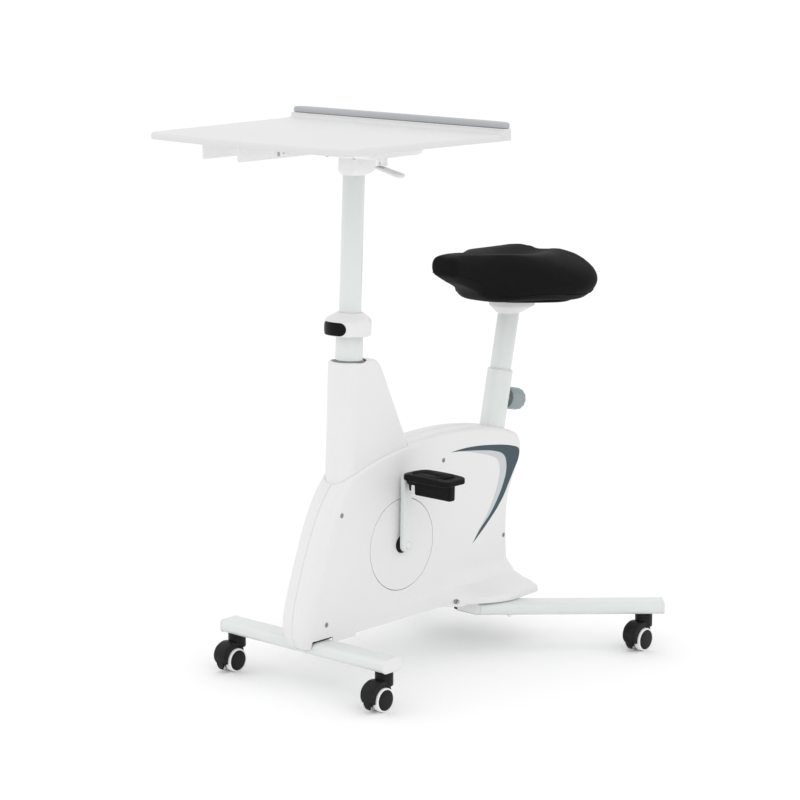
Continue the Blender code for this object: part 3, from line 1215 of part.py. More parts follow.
def build_clamp():
    """The domed flange that carries the saddle on the inner tube, level on top."""
    top = SADDLE_PAN_TOP - SADDLE_PAN_THICKNESS - TOUCH
    bore = SEAT_INNER_RADIUS + TOUCH
    height = 0.034
    profile = [(DOME_RADIUS, height + 0.02)]
    for i in range(5):
        angle = math.radians(90.0 * i / 4)
        profile.append((DOME_RADIUS - (DOME_RADIUS - SEAT_INNER_RADIUS - 0.004) * (1.0 - math.cos(angle)),
                        0.024 - 0.024 * math.sin(angle)))
    profile += [(bore, 0.0), (bore, height + 0.02)]
    dome = moved(turned(profile, 24), (0.0, 0.0, DOME_BOTTOM))
    dome = moved(dome, (0.0, SEAT_FOOT_Y, 0.0), -SEAT_LEAN, "X")
    level = block((0.4, 1.6, 0.2), (0.0, SEAT_FOOT_Y, top + 0.1))
    lid = rod(bore + 0.004, SEAT_INNER_TOP + TOUCH, SEAT_INNER_TOP + 0.05, 24)
    lid = moved(lid, (0.0, SEAT_FOOT_Y, 0.0), -SEAT_LEAN, "X")
    piece("saddle_clamp", cut(joined(dome, lid), level), WHITE_PLASTIC)


# Saddle stations from nose to rear: place along the saddle, half width, underside, top, groove depth
SADDLE_STATIONS = ((0.00, 0.028, 0.897, 0.927, 0.000), (0.03, 0.040, 0.886, 0.935, 0.000),
                   (0.11, 0.047, 0.855, 0.937, 0.001), (0.22, 0.056, 0.826, 0.935, 0.005),
                   (0.36, 0.080, 0.812, 0.932, 0.013), (0.50, 0.125, 0.806, 0.931, 0.020),
                   (0.62, 0.166, 0.802, 0.934, 0.023), (0.74, 0.190, 0.803, 0.935, 0.021),
                   (0.86, 0.188, 0.803, 0.930, 0.015), (0.95, 0.160, 0.806, 0.918, 0.008),
                   (1.00, 0.110, 0.818, 0.900, 0.003))


def saddle_section(station):
    """One cross-section of the cushion's cage, from the groove round one side and back."""
    along, half, bottom, top, groove = station
    y = SADDLE_NOSE_Y + (SADDLE_REAR_Y - SADDLE_NOSE_Y) * along
    half *= SADDLE_WIDTH / 0.380
    height = top - bottom
    crown = SADDLE_TOP - 0.930
    side = [(0.0, top - groove), (0.16, top - groove * 0.75), (0.34, top - groove * 0.1), (0.62, top),
            (0.86, top - height * 0.13), (1.0, top - height * 0.40), (0.98, top - height * 0.64),
            (0.80, bottom + height * 0.06), (0.40, bottom), (0.0, bottom)]
    right = [(half * share, y, z + crown) for share, z in side]
    left = [(-x, y, z) for x, y, z in reversed(right[1:-1])]
    return right + left


def build_saddle():
    bm = bmesh.new()
    loops = []
    rings = []
    for station in SADDLE_STATIONS:
        ring = [bm.verts.new(point) for point in saddle_section(station)]
        loops.append([bm.edges.new((ring[i - 1], ring[i])) for i in range(len(ring))])
        rings.append(ring)
    for low, high in zip(loops, loops[1:]):
        bmesh.ops.bridge_loops(bm, edges=low + high)
    bm.faces.new(rings[0])
    bm.faces.new(rings[-1])
    bmesh.ops.recalc_face_normals(bm, faces=bm.faces)
    cage = bpy.data.meshes.new("cushion")
    bm.to_mesh(cage)
    bm.free()
    obj = bpy.data.objects.new("cage", cage)
    cutters.objects.link(obj)
    subdivision = obj.modifiers.new("Soft", "SUBSURF")
    subdivision.levels = 1
    subdivision.render_levels = 1
    bpy.context.view_layer.update()
    cushion = evaluated_mesh(obj)
    # The cushion sits flat on its pan.
    middle_y = (SADDLE_NOSE_Y + SADDLE_REAR_Y) / 2
    base = block((2 * SADDLE_WIDTH, 2 * (SADDLE_REAR_Y - SADDLE_NOSE_Y), SADDLE_PAN_TOP),
                 (0.0, middle_y, SADDLE_PAN_TOP / 2 + TOUCH))
    cushion = cut(cushion, base)
    piece("saddle_cushion", cushion, BLACK_COVER)

    length = SADDLE_REAR_Y - SADDLE_NOSE_Y
    low = SADDLE_NOSE_Y + length * 0.48
    outline = smooth_curve([(0.0, low), (0.045, low + 0.004), (0.095, low + 0.045),
                            (0.135, low + length * 0.24), (0.118, low + length * 0.38),
                            (0.070, low + length * 0.455), (0.0, low + length * 0.465)], 2)
    outline += [(-x, y) for x, y in reversed(outline[1:-1])]
    pan = plate([outline], SADDLE_PAN_THICKNESS, None,
                (0.0, 0.0, SADDLE_PAN_TOP - SADDLE_PAN_THICKNESS / 2))
    piece("saddle_pan", pan, BLACK_PLASTIC)


build_base()
build_main_frame()
build_casters()
build_housing()
build_drive()
build_post()
build_carriage()
build_lever()
build_desk()
build_seat_tubes()
build_saddle()
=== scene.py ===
# Desk exercise bike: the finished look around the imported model.
# Metres, +Z up. The rider faces -Y, so +X is the rider's left. The floor is z = 0.

import json
import math

import bmesh
import bpy
from mathutils import Matrix, Vector
from mathutils.bvhtree import BVHTree


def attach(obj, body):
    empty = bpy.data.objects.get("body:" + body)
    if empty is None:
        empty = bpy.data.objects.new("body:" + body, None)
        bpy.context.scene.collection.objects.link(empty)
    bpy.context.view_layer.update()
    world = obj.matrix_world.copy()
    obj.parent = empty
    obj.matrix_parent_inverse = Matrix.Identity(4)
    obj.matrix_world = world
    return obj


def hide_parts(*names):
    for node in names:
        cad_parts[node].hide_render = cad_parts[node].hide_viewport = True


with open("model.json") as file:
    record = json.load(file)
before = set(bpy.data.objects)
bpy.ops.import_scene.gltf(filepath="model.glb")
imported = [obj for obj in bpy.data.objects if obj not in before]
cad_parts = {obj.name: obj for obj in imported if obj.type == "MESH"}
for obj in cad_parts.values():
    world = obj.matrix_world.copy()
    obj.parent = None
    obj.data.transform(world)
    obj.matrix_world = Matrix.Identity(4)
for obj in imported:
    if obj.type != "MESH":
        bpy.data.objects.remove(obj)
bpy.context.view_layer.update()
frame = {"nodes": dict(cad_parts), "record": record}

# The bike's own y starts at the middle of the front bar
FRONT_BAR_Y = -0.3235

# Clearance where pieces of one body meet, and how near points are to count as one
TOUCH = 0.0003
MERGE = 0.000002

# Base
BAR_UNDERSIDE = 0.088
BAR_DEPTH = 0.060
BAR_HEIGHT = 0.030
BAR_WALL = 0.002
BAR_CORNER = 0.012
FRONT_BAR_LENGTH = 0.513
CAP_FLANGE = 0.005
CAP_PLUG = 0.014
CAP_CORNER = 0.0095
LEG_ANGLE = math.radians(46.6)
LEG_APEX_Y = 0.419
LEG_REACH = 0.553
LEG_CUT_Y = 0.478
LEG_PLUG = 0.130
FRONT_CASTER_X = 0.230
REAR_CASTER_REACH = 0.506

# Casters
WHEEL_RADIUS = 0.0275
WHEEL_MID_X = 0.01455
CASTER_TRAIL = 0.019
FENDER_INSIDE = 0.0289
SPINE = 0.011
WHEEL_ROOM = 0.030
BRAKE_WIDTH = 0.022
BRAKE_PIVOT_RADIUS = 0.0311

# Housing
HALF_WIDTH = 0.045
WALL = 0.0025
SEAM = 0.00025
FRONT_ROUND = 0.028
EDGE_ROUND = 0.014
CRANK_Y = 0.2653
CRANK_Z = 0.2932
CRANK_LENGTH = 0.155
COVER_RADIUS = 0.1075

# Lower edges of the housing: before the bar's notch, along the side, over the legs
FRONT_SILL = 0.104
SIDE_SILL = 0.115
REAR_SILL = 0.1205
NOTCH_ROUND = 0.003
SCREWS = ((0.064, 0.396), (0.411, 0.467), (0.632, 0.247), (0.012, 0.153), (0.428, 0.127))
SCREW_HOLE_RADIUS = 0.0058
SCREW_HEAD_RADIUS = 0.0054
# Length of the black strip that paints the shade in the notch over the front bar
NOTCH_SHADE_PAD_LENGTH = 0.015

# Column cover
COLUMN_TOP = 0.736
COLUMN_FOOT = 0.452
COLUMN_HALF_WIDTH = 0.0405
COLUMN_FRONT_TOP = 0.0900
COLUMN_FRONT_FOOT = 0.0775
COLUMN_REAR_TOP = 0.1990
COLUMN_REAR_SLOPE = 0.1320
COLUMN_REAR_ROUND = 0.022
COLUMN_SHOULDER = 0.026
COLUMN_LIP = 0.006

# Pedals, about their spindle
PEDAL_INNER_X = 0.0685
PEDAL_LENGTH = 0.1435
PEDAL_DEPTH = 0.075
PEDAL_PLATE_Z = 0.0070
PEDAL_PLATE = 0.0125
PEDAL_WEB = 0.0205
PEDAL_WEB_DROP = 0.0305
PEDAL_WEB_INNER_X = 0.0905
PEDAL_WEB_LENGTH = 0.1085
PEDAL_CROWN = 0.0035
RIB_PITCH = 0.0044
RIB_WIDTH = 0.0016

# Round tubes, and the axes of the desk post and the seat tube
TUBE_WALL = 0.002
POST_OUTER_RADIUS = 0.031
POST_INNER_RADIUS = 0.025
SEAT_OUTER_RADIUS = 0.0305
SEAT_INNER_RADIUS = 0.0255
TUBE_FOOT = 0.10
POST_TUBE_TOP = 0.834
SEAT_TUBE_TOP = 0.657
BARREL_LENGTH = 0.010
KNOB_GAP = 0.0015
POST_FOOT_Y = 0.1034
POST_LEAN = math.radians(2.565)
SEAT_FOOT_Y = 0.5268
SEAT_LEAN = math.radians(12.5)

# Desk
DESK_WIDTH = 0.6488
DESK_FRONT_WIDTH = 0.590
DESK_DEPTH = 0.5232
DESK_FRONT_Y = -0.207
DESK_REAR_Y = DESK_FRONT_Y + DESK_DEPTH
DESK_BOW = 0.015
DESK_TOP = 1.2534
DESK_THICKNESS = 0.015
DESK_CORNER = 0.020
DESK_REAR_CORNER = 0.008
DESK_EASE = 0.0065
LEDGE_HEIGHT = 0.011
LEDGE_DEPTH = 0.027
PAD_HEIGHT = 0.0145

# Rails, carriage and lever under the desk
SHEET = 0.0025
CHANNEL_LEFT_X = -0.163
CHANNEL_RIGHT_X = -0.053
CHANNEL_DEPTH = 0.0385
CHANNEL_FRONT_Y = -0.154
RAIL_X = 0.053
RAIL_DEPTH = 0.022
RAIL_END_Y = 0.285
CARRIAGE_FRONT_Y = 0.092
CARRIAGE_REAR_Y = 0.270
CARRIAGE_HALF_WIDTH = 0.104
CARRIAGE_SHEET = 0.003
LEVER_BOSS_X = 0.080
LEVER_BOSS_SIZE = 0.020
LEVER_BOSS_DROP = 0.0185
LEVER_LENGTH = 0.078
LEVER_WIDTH = 0.026
LEVER_DROOP = math.radians(11.0)

# Heights shared by the desk's support and the seat
BEAM_TOP = 0.1483
DESK_UNDERSIDE = DESK_TOP - DESK_THICKNESS
CHANNEL_TOP = DESK_UNDERSIDE - TOUCH
CARRIAGE_TOP = CHANNEL_TOP - CHANNEL_DEPTH - 0.0004
CARRIAGE_BOTTOM = CARRIAGE_TOP - CARRIAGE_SHEET
HEAD_TOP = CARRIAGE_BOTTOM - TOUCH
HEAD_BOTTOM = CARRIAGE_BOTTOM - 0.0432
POST_TOP = (HEAD_TOP - 0.008) / math.cos(POST_LEAN)
KNOB_UP_TUBE = 0.592
PAN_TOP = 0.8150
PAN_DEPTH = 0.0070
SADDLE_NOSE_Y = 0.445
SADDLE_REAR_Y = 0.854
SADDLE_WIDTH = 0.397
SADDLE_DRAWN_WIDTH = 0.380

HANDS = ((1, "left"), (-1, "right"))


def by(x, y, z):
    """A move along the three axes."""
    return Matrix.Translation((x, y, z))


def turned(side):
    """A half turn about Z for the right-hand side."""
    return Matrix.Identity(4) if side == 1 else Matrix.Rotation(math.pi, 4, "Z")


SIDE_VIEW = Matrix(((0, 0, 1), (1, 0, 0), (0, 1, 0))).to_4x4()
FRONT_VIEW = Matrix(((1, 0, 0), (0, 0, -1), (0, 1, 0))).to_4x4()
X_AXIS, Y_AXIS, Z_AXIS = (1.0, 0.0, 0.0), (0.0, 1.0, 0.0), (0.0, 0.0, 1.0)
TO_REAR = Matrix.Rotation(-math.pi / 2, 4, "X")
TURNED_OVER = Matrix.Rotation(math.pi, 4, "X")
TO_ROW = by(0.0, FRONT_BAR_Y, 0.0)
POST_AXIS = by(0.0, POST_FOOT_Y, 0.0) @ Matrix.Rotation(-POST_LEAN, 4, "X")
SEAT_AXIS = by(0.0, SEAT_FOOT_Y, 0.0) @ Matrix.Rotation(-SEAT_LEAN, 4, "X")


# Node groups for the finishes

def group_sockets(name, inputs, outputs):
    """A shader node group with named inputs and outputs, and its two end nodes."""
    group = bpy.data.node_groups.new(name, "ShaderNodeTree")
    for label, kind, value in inputs:
        socket = group.interface.new_socket(label, in_out="INPUT", socket_type=kind)
        if value is not None:
            socket.default_value = value
    for label, kind in outputs:
        group.interface.new_socket(label, in_out="OUTPUT", socket_type=kind)
    return group, group.nodes.new("NodeGroupInput"), group.nodes.new("NodeGroupOutput")


def noise_node(tree, coordinates, scale, detail=3.0, roughness=0.5):
    """Noise on the piece's own coordinates."""
    node = tree.nodes.new("ShaderNodeTexNoise")
    node.inputs["Detail"].default_value = detail
    node.inputs["Roughness"].default_value = roughness
    tree.links.new(coordinates, node.inputs["Vector"])
    if isinstance(scale, (int, float)):
        node.inputs["Scale"].default_value = scale
    else:
        tree.links.new(scale, node.inputs["Scale"])
    return node.outputs["Fac"]


def ramp(tree, value, low, high):
    """Maps 0..1 to a low and high value."""
    node = tree.nodes.new("ShaderNodeMapRange")
    tree.links.new(value, node.inputs["Value"])
    for socket, amount in (("To Min", low), ("To Max", high)):
        if isinstance(amount, (int, float)):
            node.inputs[socket].default_value = amount
        else:
            tree.links.new(amount, node.inputs[socket])
    return node.outputs["Result"]


def bump(tree, height, strength, distance):
    node = tree.nodes.new("ShaderNodeBump")
    node.inputs["Distance"].default_value = distance
    tree.links.new(height, node.inputs["Height"])
    if isinstance(strength, (int, float)):
        node.inputs["Strength"].default_value = strength
    else:
        tree.links.new(strength, node.inputs["Strength"])
    return node.outputs["Normal"]


def object_coordinates(tree):
    return tree.nodes.new("ShaderNodeTexCoord").outputs["Object"]


def shaded(tree, colour, value, low, high):
    """The colour made darker or lighter by a value between low and high."""
    node = tree.nodes.new("ShaderNodeHueSaturation")
    tree.links.new(ramp(tree, value, low, high), node.inputs["Value"])
    tree.links.new(colour, node.inputs["Color"])
    return node.outputs["Color"]


def build_grain_group():
    """Moulded or coated grain: colour that drifts a little, uneven gloss and a fine bump."""
    inputs = (("Color", "NodeSocketColor", (0.8, 0.8, 0.8, 1.0)), ("Drift", "NodeSocketFloat", 0.02),
              ("Roughness", "NodeSocketFloat", 0.4), ("Gloss Spread", "NodeSocketFloat", 0.06),
              ("Grain Scale", "NodeSocketFloat", 900.0), ("Grain Depth", "NodeSocketFloat", 0.2))
    outputs = (("Color", "NodeSocketColor"), ("Roughness", "NodeSocketFloat"), ("Normal", "NodeSocketVector"))
    group, start, end = group_sockets("moulded_grain", inputs, outputs)
    place = object_coordinates(group)
    cloudy = noise_node(group, place, 6.0, 4.0)
    smudge = noise_node(group, place, 28.0, 5.0, 0.6)
    fine = noise_node(group, place, start.outputs["Grain Scale"], 2.0)

    def arithmetic(operation, a, b):
        node = group.nodes.new("ShaderNodeMath")
        node.operation = operation
        for socket, value in zip(node.inputs, (a, b)):
            if isinstance(value, (int, float)):
                socket.default_value = value
            else:
                group.links.new(value, socket)
        return node.outputs[0]

    low = arithmetic("SUBTRACT", 1.0, start.outputs["Drift"])
    high = arithmetic("ADD", 1.0, start.outputs["Drift"])
    colour = shaded(group, start.outputs["Color"], cloudy, low, high)
    rough_low = arithmetic("SUBTRACT", start.outputs["Roughness"], start.outputs["Gloss Spread"])
    rough_high = arithmetic("ADD", start.outputs["Roughness"], start.outputs["Gloss Spread"])
    rough = ramp(group, smudge, rough_low, rough_high)
    normal = bump(group, fine, start.outputs["Grain Depth"], 0.0002)
    group.links.new(colour, end.inputs["Color"])
    group.links.new(rough, end.inputs["Roughness"])
    group.links.new(normal, end.inputs["Normal"])
    return group


GRAIN = build_grain_group()


def grained(name, colour, roughness, spread, scale, depth, drift=0.02, metallic=0.0, coat=0.0,
            specular=0.5, sheen=0.0):
    """A finish made from the shared grain, with its own colour and gloss."""
    material = bpy.data.materials.new(name)
    material.use_nodes = True
    tree = material.node_tree
    shader = tree.nodes["Principled BSDF"]
    shader.inputs["Metallic"].default_value = metallic
    shader.inputs["Specular IOR Level"].default_value = specular
    shader.inputs["Coat Weight"].default_value = coat
    shader.inputs["Coat Roughness"].default_value = 0.25
    shader.inputs["Sheen Weight"].default_value = sheen
    shader.inputs["Sheen Roughness"].default_value = 0.6
    node = tree.nodes.new("ShaderNodeGroup")
    node.node_tree = GRAIN
    node.inputs["Color"].default_value = (*colour, 1.0)
    node.inputs["Drift"].default_value = drift
    node.inputs["Roughness"].default_value = roughness
    node.inputs["Gloss Spread"].default_value = spread
    node.inputs["Grain Scale"].default_value = scale
    node.inputs["Grain Depth"].default_value = depth
    tree.links.new(node.outputs["Color"], shader.inputs["Base Color"])
    tree.links.new(node.outputs["Roughness"], shader.inputs["Roughness"])
    tree.links.new(node.outputs["Normal"], shader.inputs["Normal"])
    return material


def brushed_steel():
    """Turned or drawn steel: fine lines across the piece and a few dull patches."""
    material = bpy.data.materials.new("bright_steel")
    material.use_nodes = True
    tree = material.node_tree
    shader = tree.nodes["Principled BSDF"]
    shader.inputs["Metallic"].default_value = 1.0
    mapping = tree.nodes.new("ShaderNodeMapping")
    mapping.inputs["Scale"].default_value = (40.0, 900.0, 900.0)
    tree.links.new(object_coordinates(tree), mapping.inputs["Vector"])
    lines = noise_node(tree, mapping.outputs["Vector"], 1.0, 3.0)
    patches = noise_node(tree, object_coordinates(tree), 30.0, 4.0)
    base = tree.nodes.new("ShaderNodeMix")
    base.data_type = "RGBA"
    base.inputs[6].default_value = (0.46, 0.47, 0.49, 1.0)
    base.inputs[7].default_value = (0.62, 0.63, 0.65, 1.0)
    tree.links.new(lines, base.inputs[0])
    tree.links.new(base.outputs[2], shader.inputs["Base Color"])
    tree.links.new(ramp(tree, patches, 0.24, 0.42), shader.inputs["Roughness"])
    tree.links.new(bump(tree, lines, 0.12, 0.0001), shader.inputs["Normal"])
    return material


def saddle_cover():
    """Black coated knit: a close pebble grain, faint stretch marks and a soft sheen."""
    material = bpy.data.materials.new("saddle_cover_black")
    material.use_nodes = True
    tree = material.node_tree
    shader = tree.nodes["Principled BSDF"]
    shader.inputs["Specular IOR Level"].default_value = 0.06
    shader.inputs["Sheen Weight"].default_value = 0.01
    shader.inputs["Sheen Roughness"].default_value = 0.5
    place = object_coordinates(tree)
    pebble = tree.nodes.new("ShaderNodeTexVoronoi")
    pebble.inputs["Scale"].default_value = 620.0
    tree.links.new(place, pebble.inputs["Vector"])
    stretch = noise_node(tree, place, 22.0, 5.0, 0.6)
    fibre = noise_node(tree, place, 1800.0, 2.0)
    base = tree.nodes.new("ShaderNodeMix")
    base.data_type = "RGBA"
    base.inputs[6].default_value = (0.0062, 0.0056, 0.0060, 1.0)
    base.inputs[7].default_value = (0.0095, 0.0088, 0.0092, 1.0)
    tree.links.new(stretch, base.inputs[0])
    tree.links.new(base.outputs[2], shader.inputs["Base Color"])
    tree.links.new(ramp(tree, stretch, 0.56, 0.74), shader.inputs["Roughness"])
    height = tree.nodes.new("ShaderNodeMath")
    height.operation = "MULTIPLY_ADD"
    tree.links.new(fibre, height.inputs[0])
    height.inputs[1].default_value = 0.35
    tree.links.new(pebble.outputs["Distance"], height.inputs[2])
    tree.links.new(bump(tree, height.outputs[0], 0.35, 0.0004), shader.inputs["Normal"])
    return material


WHITE_ABS = grained("white_moulded_plastic", (0.76, 0.76, 0.76), 0.40, 0.05, 1300.0, 0.10, 0.012)
DESK_WHITE = grained("white_desk_top", (0.68, 0.68, 0.68), 0.46, 0.05, 1600.0, 0.14, 0.010)
# Neutral white for the sheet parts. It is partly their own colour and partly painted light: lighter than the
# other whites, so that the pieces in the shade under the desk look lit.
WHITE_SHEET_SHADE_LIFT = grained("sheet_coat_lifted_for_shade", (0.86, 0.86, 0.86), 0.36, 0.05, 520.0, 0.12, 0.012, coat=0.10)
WHITE_COAT = grained("white_powder_coat", (0.705, 0.735, 0.720), 0.34, 0.05, 520.0, 0.12, 0.014, coat=0.15)
BLACK_NYLON = grained("black_nylon", (0.0085, 0.0085, 0.009), 0.46, 0.08, 900.0, 0.30, 0.10, specular=0.18)
PEDAL_BLACK = grained("black_pedal_plastic", (0.0045, 0.0042, 0.0044), 0.52, 0.08, 700.0, 0.35, 0.12,
                      specular=0.12)
TYRE_WHITE = grained("white_caster_tyre", (0.86, 0.86, 0.86), 0.42, 0.06, 700.0, 0.10, 0.03)
PAD_GREY = grained("grey_pad_skin", (0.41, 0.425, 0.44), 0.62, 0.06, 1100.0, 0.30, 0.05, sheen=0.15)
KNOB_GREY = grained("blue_grey_plastic", (0.27, 0.315, 0.33), 0.48, 0.08, 800.0, 0.22, 0.05)
BLACK_RUBBER = grained("black_rubber", (0.008, 0.008, 0.008), 0.70, 0.08, 500.0, 0.30, 0.12, specular=0.18)
SCREW_GREY = grained("grey_screw_zinc", (0.33, 0.33, 0.33), 0.42, 0.08, 900.0, 0.10, 0.06, metallic=0.8)
# Dark grey for the ring at the column's mouth: painted shade for the gap round the post.
GAP_SHADE_GREY = grained("grey_gap_shade_ring", (0.21, 0.215, 0.22), 0.62, 0.06, 700.0, 0.20, 0.08, specular=0.2)
BADGE_BLACK = grained("black_badge_gloss", (0.004, 0.004, 0.004), 0.34, 0.05, 900.0, 0.05, 0.10,
                      coat=0.03, specular=0.10)
STRIPE_DARK = grained("slate_stripe", (0.054, 0.082, 0.100), 0.42, 0.05, 1200.0, 0.05, 0.02, specular=0.20)
STRIPE_LIGHT = grained("pale_stripe", (0.56, 0.585, 0.605), 0.42, 0.05, 1200.0, 0.05, 0.02, specular=0.25)
BRIGHT_STEEL = brushed_steel()
SADDLE_COVER = saddle_cover()

# The finishes in each slot of the record, that of plain nodes first
SLOT_FINISHES = {"white_plastic": (WHITE_ABS, DESK_WHITE, TYRE_WHITE, STRIPE_DARK, STRIPE_LIGHT),
                 "white_paint": (WHITE_COAT, WHITE_SHEET_SHADE_LIFT), "black_cover": (SADDLE_COVER,),
                 "black_plastic": (BLACK_NYLON, PEDAL_BLACK, BADGE_BLACK), "grey_rubber": (PAD_GREY,),
                 "knob_plastic": (KNOB_GREY,), "steel": (BRIGHT_STEEL, SCREW_GREY),
                 "black_rubber": (BLACK_RUBBER, GAP_SHADE_GREY)}


# Outlines and shapes

def arc(centre, radius, start, end, steps):
    """Points of an arc in a plane, angles in degrees."""
    points = []
    for i in range(steps + 1):
        angle = math.radians(start + (end - start) * i / steps)
        points.append((centre[0] + radius * math.cos(angle), centre[1] + radius * math.sin(angle)))
    return points


def rounded_box(width, height, radius, steps=8, centre=(0.0, 0.0)):
    """Outline of a rectangle with round corners."""
    points = []
    for i, (sx, sy) in enumerate(((1, 1), (-1, 1), (-1, -1), (1, -1))):
        corner = (centre[0] + sx * (width / 2 - radius), centre[1] + sy * (height / 2 - radius))
        points += arc(corner, radius, 90.0 * i, 90.0 * (i + 1), steps)
    return points


def smooth_curve(keys, per_span):
    """Points of a Catmull-Rom curve through the key points."""
    points = []
    padded = [keys[0]] + list(keys) + [keys[-1]]
    for i in range(1, len(padded) - 2):
        before, start, end, after = (Vector(padded[i + k]) for k in (-1, 0, 1, 2))
        for step in range(per_span):
            t = step / per_span
            bend = (end - before) * t
            bend += (2 * before - 5 * start + 4 * end - after) * t ** 2
            bend += (3 * start - before - 3 * end + after) * t ** 3
            points.append(tuple(start + bend / 2))
    points.append(tuple(keys[-1]))
    return points


def ring_of(bm, points):
    """A closed loop of edges through points, as (vertices, edges)."""
    verts = [bm.verts.new(point) for point in points]
    edges = [bm.edges.new((verts[i - 1], verts[i])) for i in range(len(verts))]
    return verts, edges


def raised(outline, z):
    """A flat outline as points at a height."""
    return [(x, y, z) for x, y in outline]


def moved(bm, matrix):
    bmesh.ops.transform(bm, matrix=matrix, verts=bm.verts)
    return bm


def closed_up(bm):
    """Joins the points that meet and turns the faces outwards."""
    bmesh.ops.remove_doubles(bm, verts=bm.verts, dist=MERGE)
    bmesh.ops.recalc_face_normals(bm, faces=bm.faces)
    return bm


def drum(radius, depth, segments):
    """A round or many-sided cutter about its middle."""
    bm = bmesh.new()
    bmesh.ops.create_cone(bm, cap_ends=True, segments=segments, radius1=radius, radius2=radius, depth=depth)
    return bm


def block(x, y, z):
    """A box about its middle."""
    bm = bmesh.new()
    bmesh.ops.create_cube(bm, size=1.0)
    bmesh.ops.scale(bm, vec=(x, y, z), verts=bm.verts)
    return bm


def lathe(profile, steps=64, closed=False):
    """A turned shape about Z from a profile of (radius, height)."""
    bm = bmesh.new()
    verts = [bm.verts.new((radius, 0.0, height)) for radius, height in profile]
    edges = [bm.edges.new(pair) for pair in zip(verts, verts[1:])]
    if closed:
        edges.append(bm.edges.new((verts[-1], verts[0])))
    bmesh.ops.spin(bm, geom=verts + edges, cent=(0, 0, 0), axis=(0, 0, 1), angle=2 * math.pi,
                   steps=steps, use_merge=True)
    return closed_up(bm)


def prism(outline, depth, hole=None):
    """A flat outline, with or without a hole, extruded evenly to both sides of its plane."""
    bm = bmesh.new()
    verts, edges = ring_of(bm, [(x, y, -depth / 2) for x, y in outline])
    if hole is None:
        bm.faces.new(verts)
    else:
        _, inner = ring_of(bm, [(x, y, -depth / 2) for x, y in hole])
        bmesh.ops.triangle_fill(bm, use_beauty=True, edges=edges + inner)
    grown = bmesh.ops.extrude_face_region(bm, geom=bm.faces[:])
    top = [item for item in grown["geom"] if isinstance(item, bmesh.types.BMVert)]
    bmesh.ops.translate(bm, verts=top, vec=(0.0, 0.0, depth))
    bmesh.ops.recalc_face_normals(bm, faces=bm.faces)
    return bm


def loft(rings, cap_start=True, cap_end=True):
    """A skin over closed rings of points."""
    bm = bmesh.new()
    built = [ring_of(bm, ring) for ring in rings]
    for (_, low), (_, high) in zip(built, built[1:]):
        bmesh.ops.bridge_loops(bm, edges=low + high)
    if cap_start:
        bm.faces.new(built[0][0])
    if cap_end:
        bm.faces.new(built[-1][0])
    bmesh.ops.recalc_face_normals(bm, faces=bm.faces)
    return bm


def sliced(bm, place, normal, near=0.00001, cut_off=False):
    """A shape cut along a plane, or cut off there and closed again."""
    cut = bmesh.ops.bisect_plane(bm, geom=bm.verts[:] + bm.edges[:] + bm.faces[:], dist=near,
                                 plane_co=place, plane_no=normal, clear_inner=cut_off)
    if cut_off:
        rim = [item for item in cut["geom_cut"] if isinstance(item, bmesh.types.BMEdge)]
        bmesh.ops.triangle_fill(bm, use_beauty=True, edges=rim)
        bmesh.ops.recalc_face_normals(bm, faces=bm.faces)
    return bm


def gridded(bm, near, *rows):
    """A shape cut along rows of planes, each row given by its axis, first place, pitch and count."""
    for axis, first, pitch, count in rows:
        for i in range(count):
            sliced(bm, Vector(axis) * (first + pitch * i), axis, near)
    return bm


def rim_round(bm, width, segments=3, angle=50.0):
    """Rounds every edge sharper than an angle."""
    limit = math.radians(angle)
    sharp = [edge for edge in bm.edges if len(edge.link_faces) == 2 and edge.calc_face_angle() > limit]
    bmesh.ops.bevel(bm, geom=sharp, offset=width, segments=segments, profile=0.5, affect="EDGES",
                    material=-1, clamp_overlap=True)
    return bm


def merged(*parts):
    """Several shapes as one mesh, each still a closed body."""
    bm = parts[0]
    for part in parts[1:]:
        mesh = bpy.data.meshes.new("part")
        part.to_mesh(mesh)
        part.free()
        bm.from_mesh(mesh)
        bpy.data.meshes.remove(mesh)
    return bm


def as_object(bm, name):
    mesh = bpy.data.meshes.new(name)
    bm.to_mesh(mesh)
    bm.free()
    obj = bpy.data.objects.new(name, mesh)
    bpy.context.scene.collection.objects.link(obj)
    return obj


def frozen(obj):
    """The object's finished mesh, with the object itself removed."""
    graph = bpy.context.evaluated_depsgraph_get()
    mesh = bpy.data.meshes.new_from_object(obj.evaluated_get(graph), depsgraph=graph)
    bpy.data.objects.remove(obj, do_unlink=True)
    bm = bmesh.new()
    bm.from_mesh(mesh)
    bpy.data.meshes.remove(mesh)
    return bm


def carved(bm, cutters, operation="DIFFERENCE"):
    """A shape cut by, or joined with, other shapes."""
    obj = as_object(bm, "carved")
    helpers = [as_object(cutter, "cutter") for cutter in cutters]
    for helper in helpers:
        boolean = obj.modifiers.new("Boolean", "BOOLEAN")
        boolean.operation = operation
        boolean.object = helper
    bpy.context.view_layer.update()
    result = frozen(obj)
    for helper in helpers:
        bpy.data.objects.remove(helper, do_unlink=True)
    return result


def mirror_x(bm):
    """The other hand of a shape."""
    copy = bm.copy()
    bmesh.ops.scale(copy, vec=(-1.0, 1.0, 1.0), verts=copy.verts)
    bmesh.ops.reverse_faces(copy, faces=copy.faces)
    return copy


def piece(name, bm, finish, body, replaces=(), place=TO_ROW, smooth_angle=35.0):
    """A finished piece of the bike: smooth, in place, in its finish's slot, riding on its body."""
    bmesh.ops.transform(bm, matrix=place, verts=bm.verts)
    obj = as_object(bm, name)
    obj.data.shade_smooth()
    obj.data.set_sharp_from_angle(angle=math.radians(smooth_angle))
    obj.data.materials.append(finish)
    if replaces:
        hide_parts(*replaces)
    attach(obj, body)
    return obj


# Camera, floor and light

CAMERA_PLACE = (4.0725, -4.2297 + FRONT_BAR_Y, 1.8131)
CAMERA_DOWN = 11.0772
CAMERA_ROUND = 41.9029
LENS = 121.32
FLOOR_SIZE = 70.0


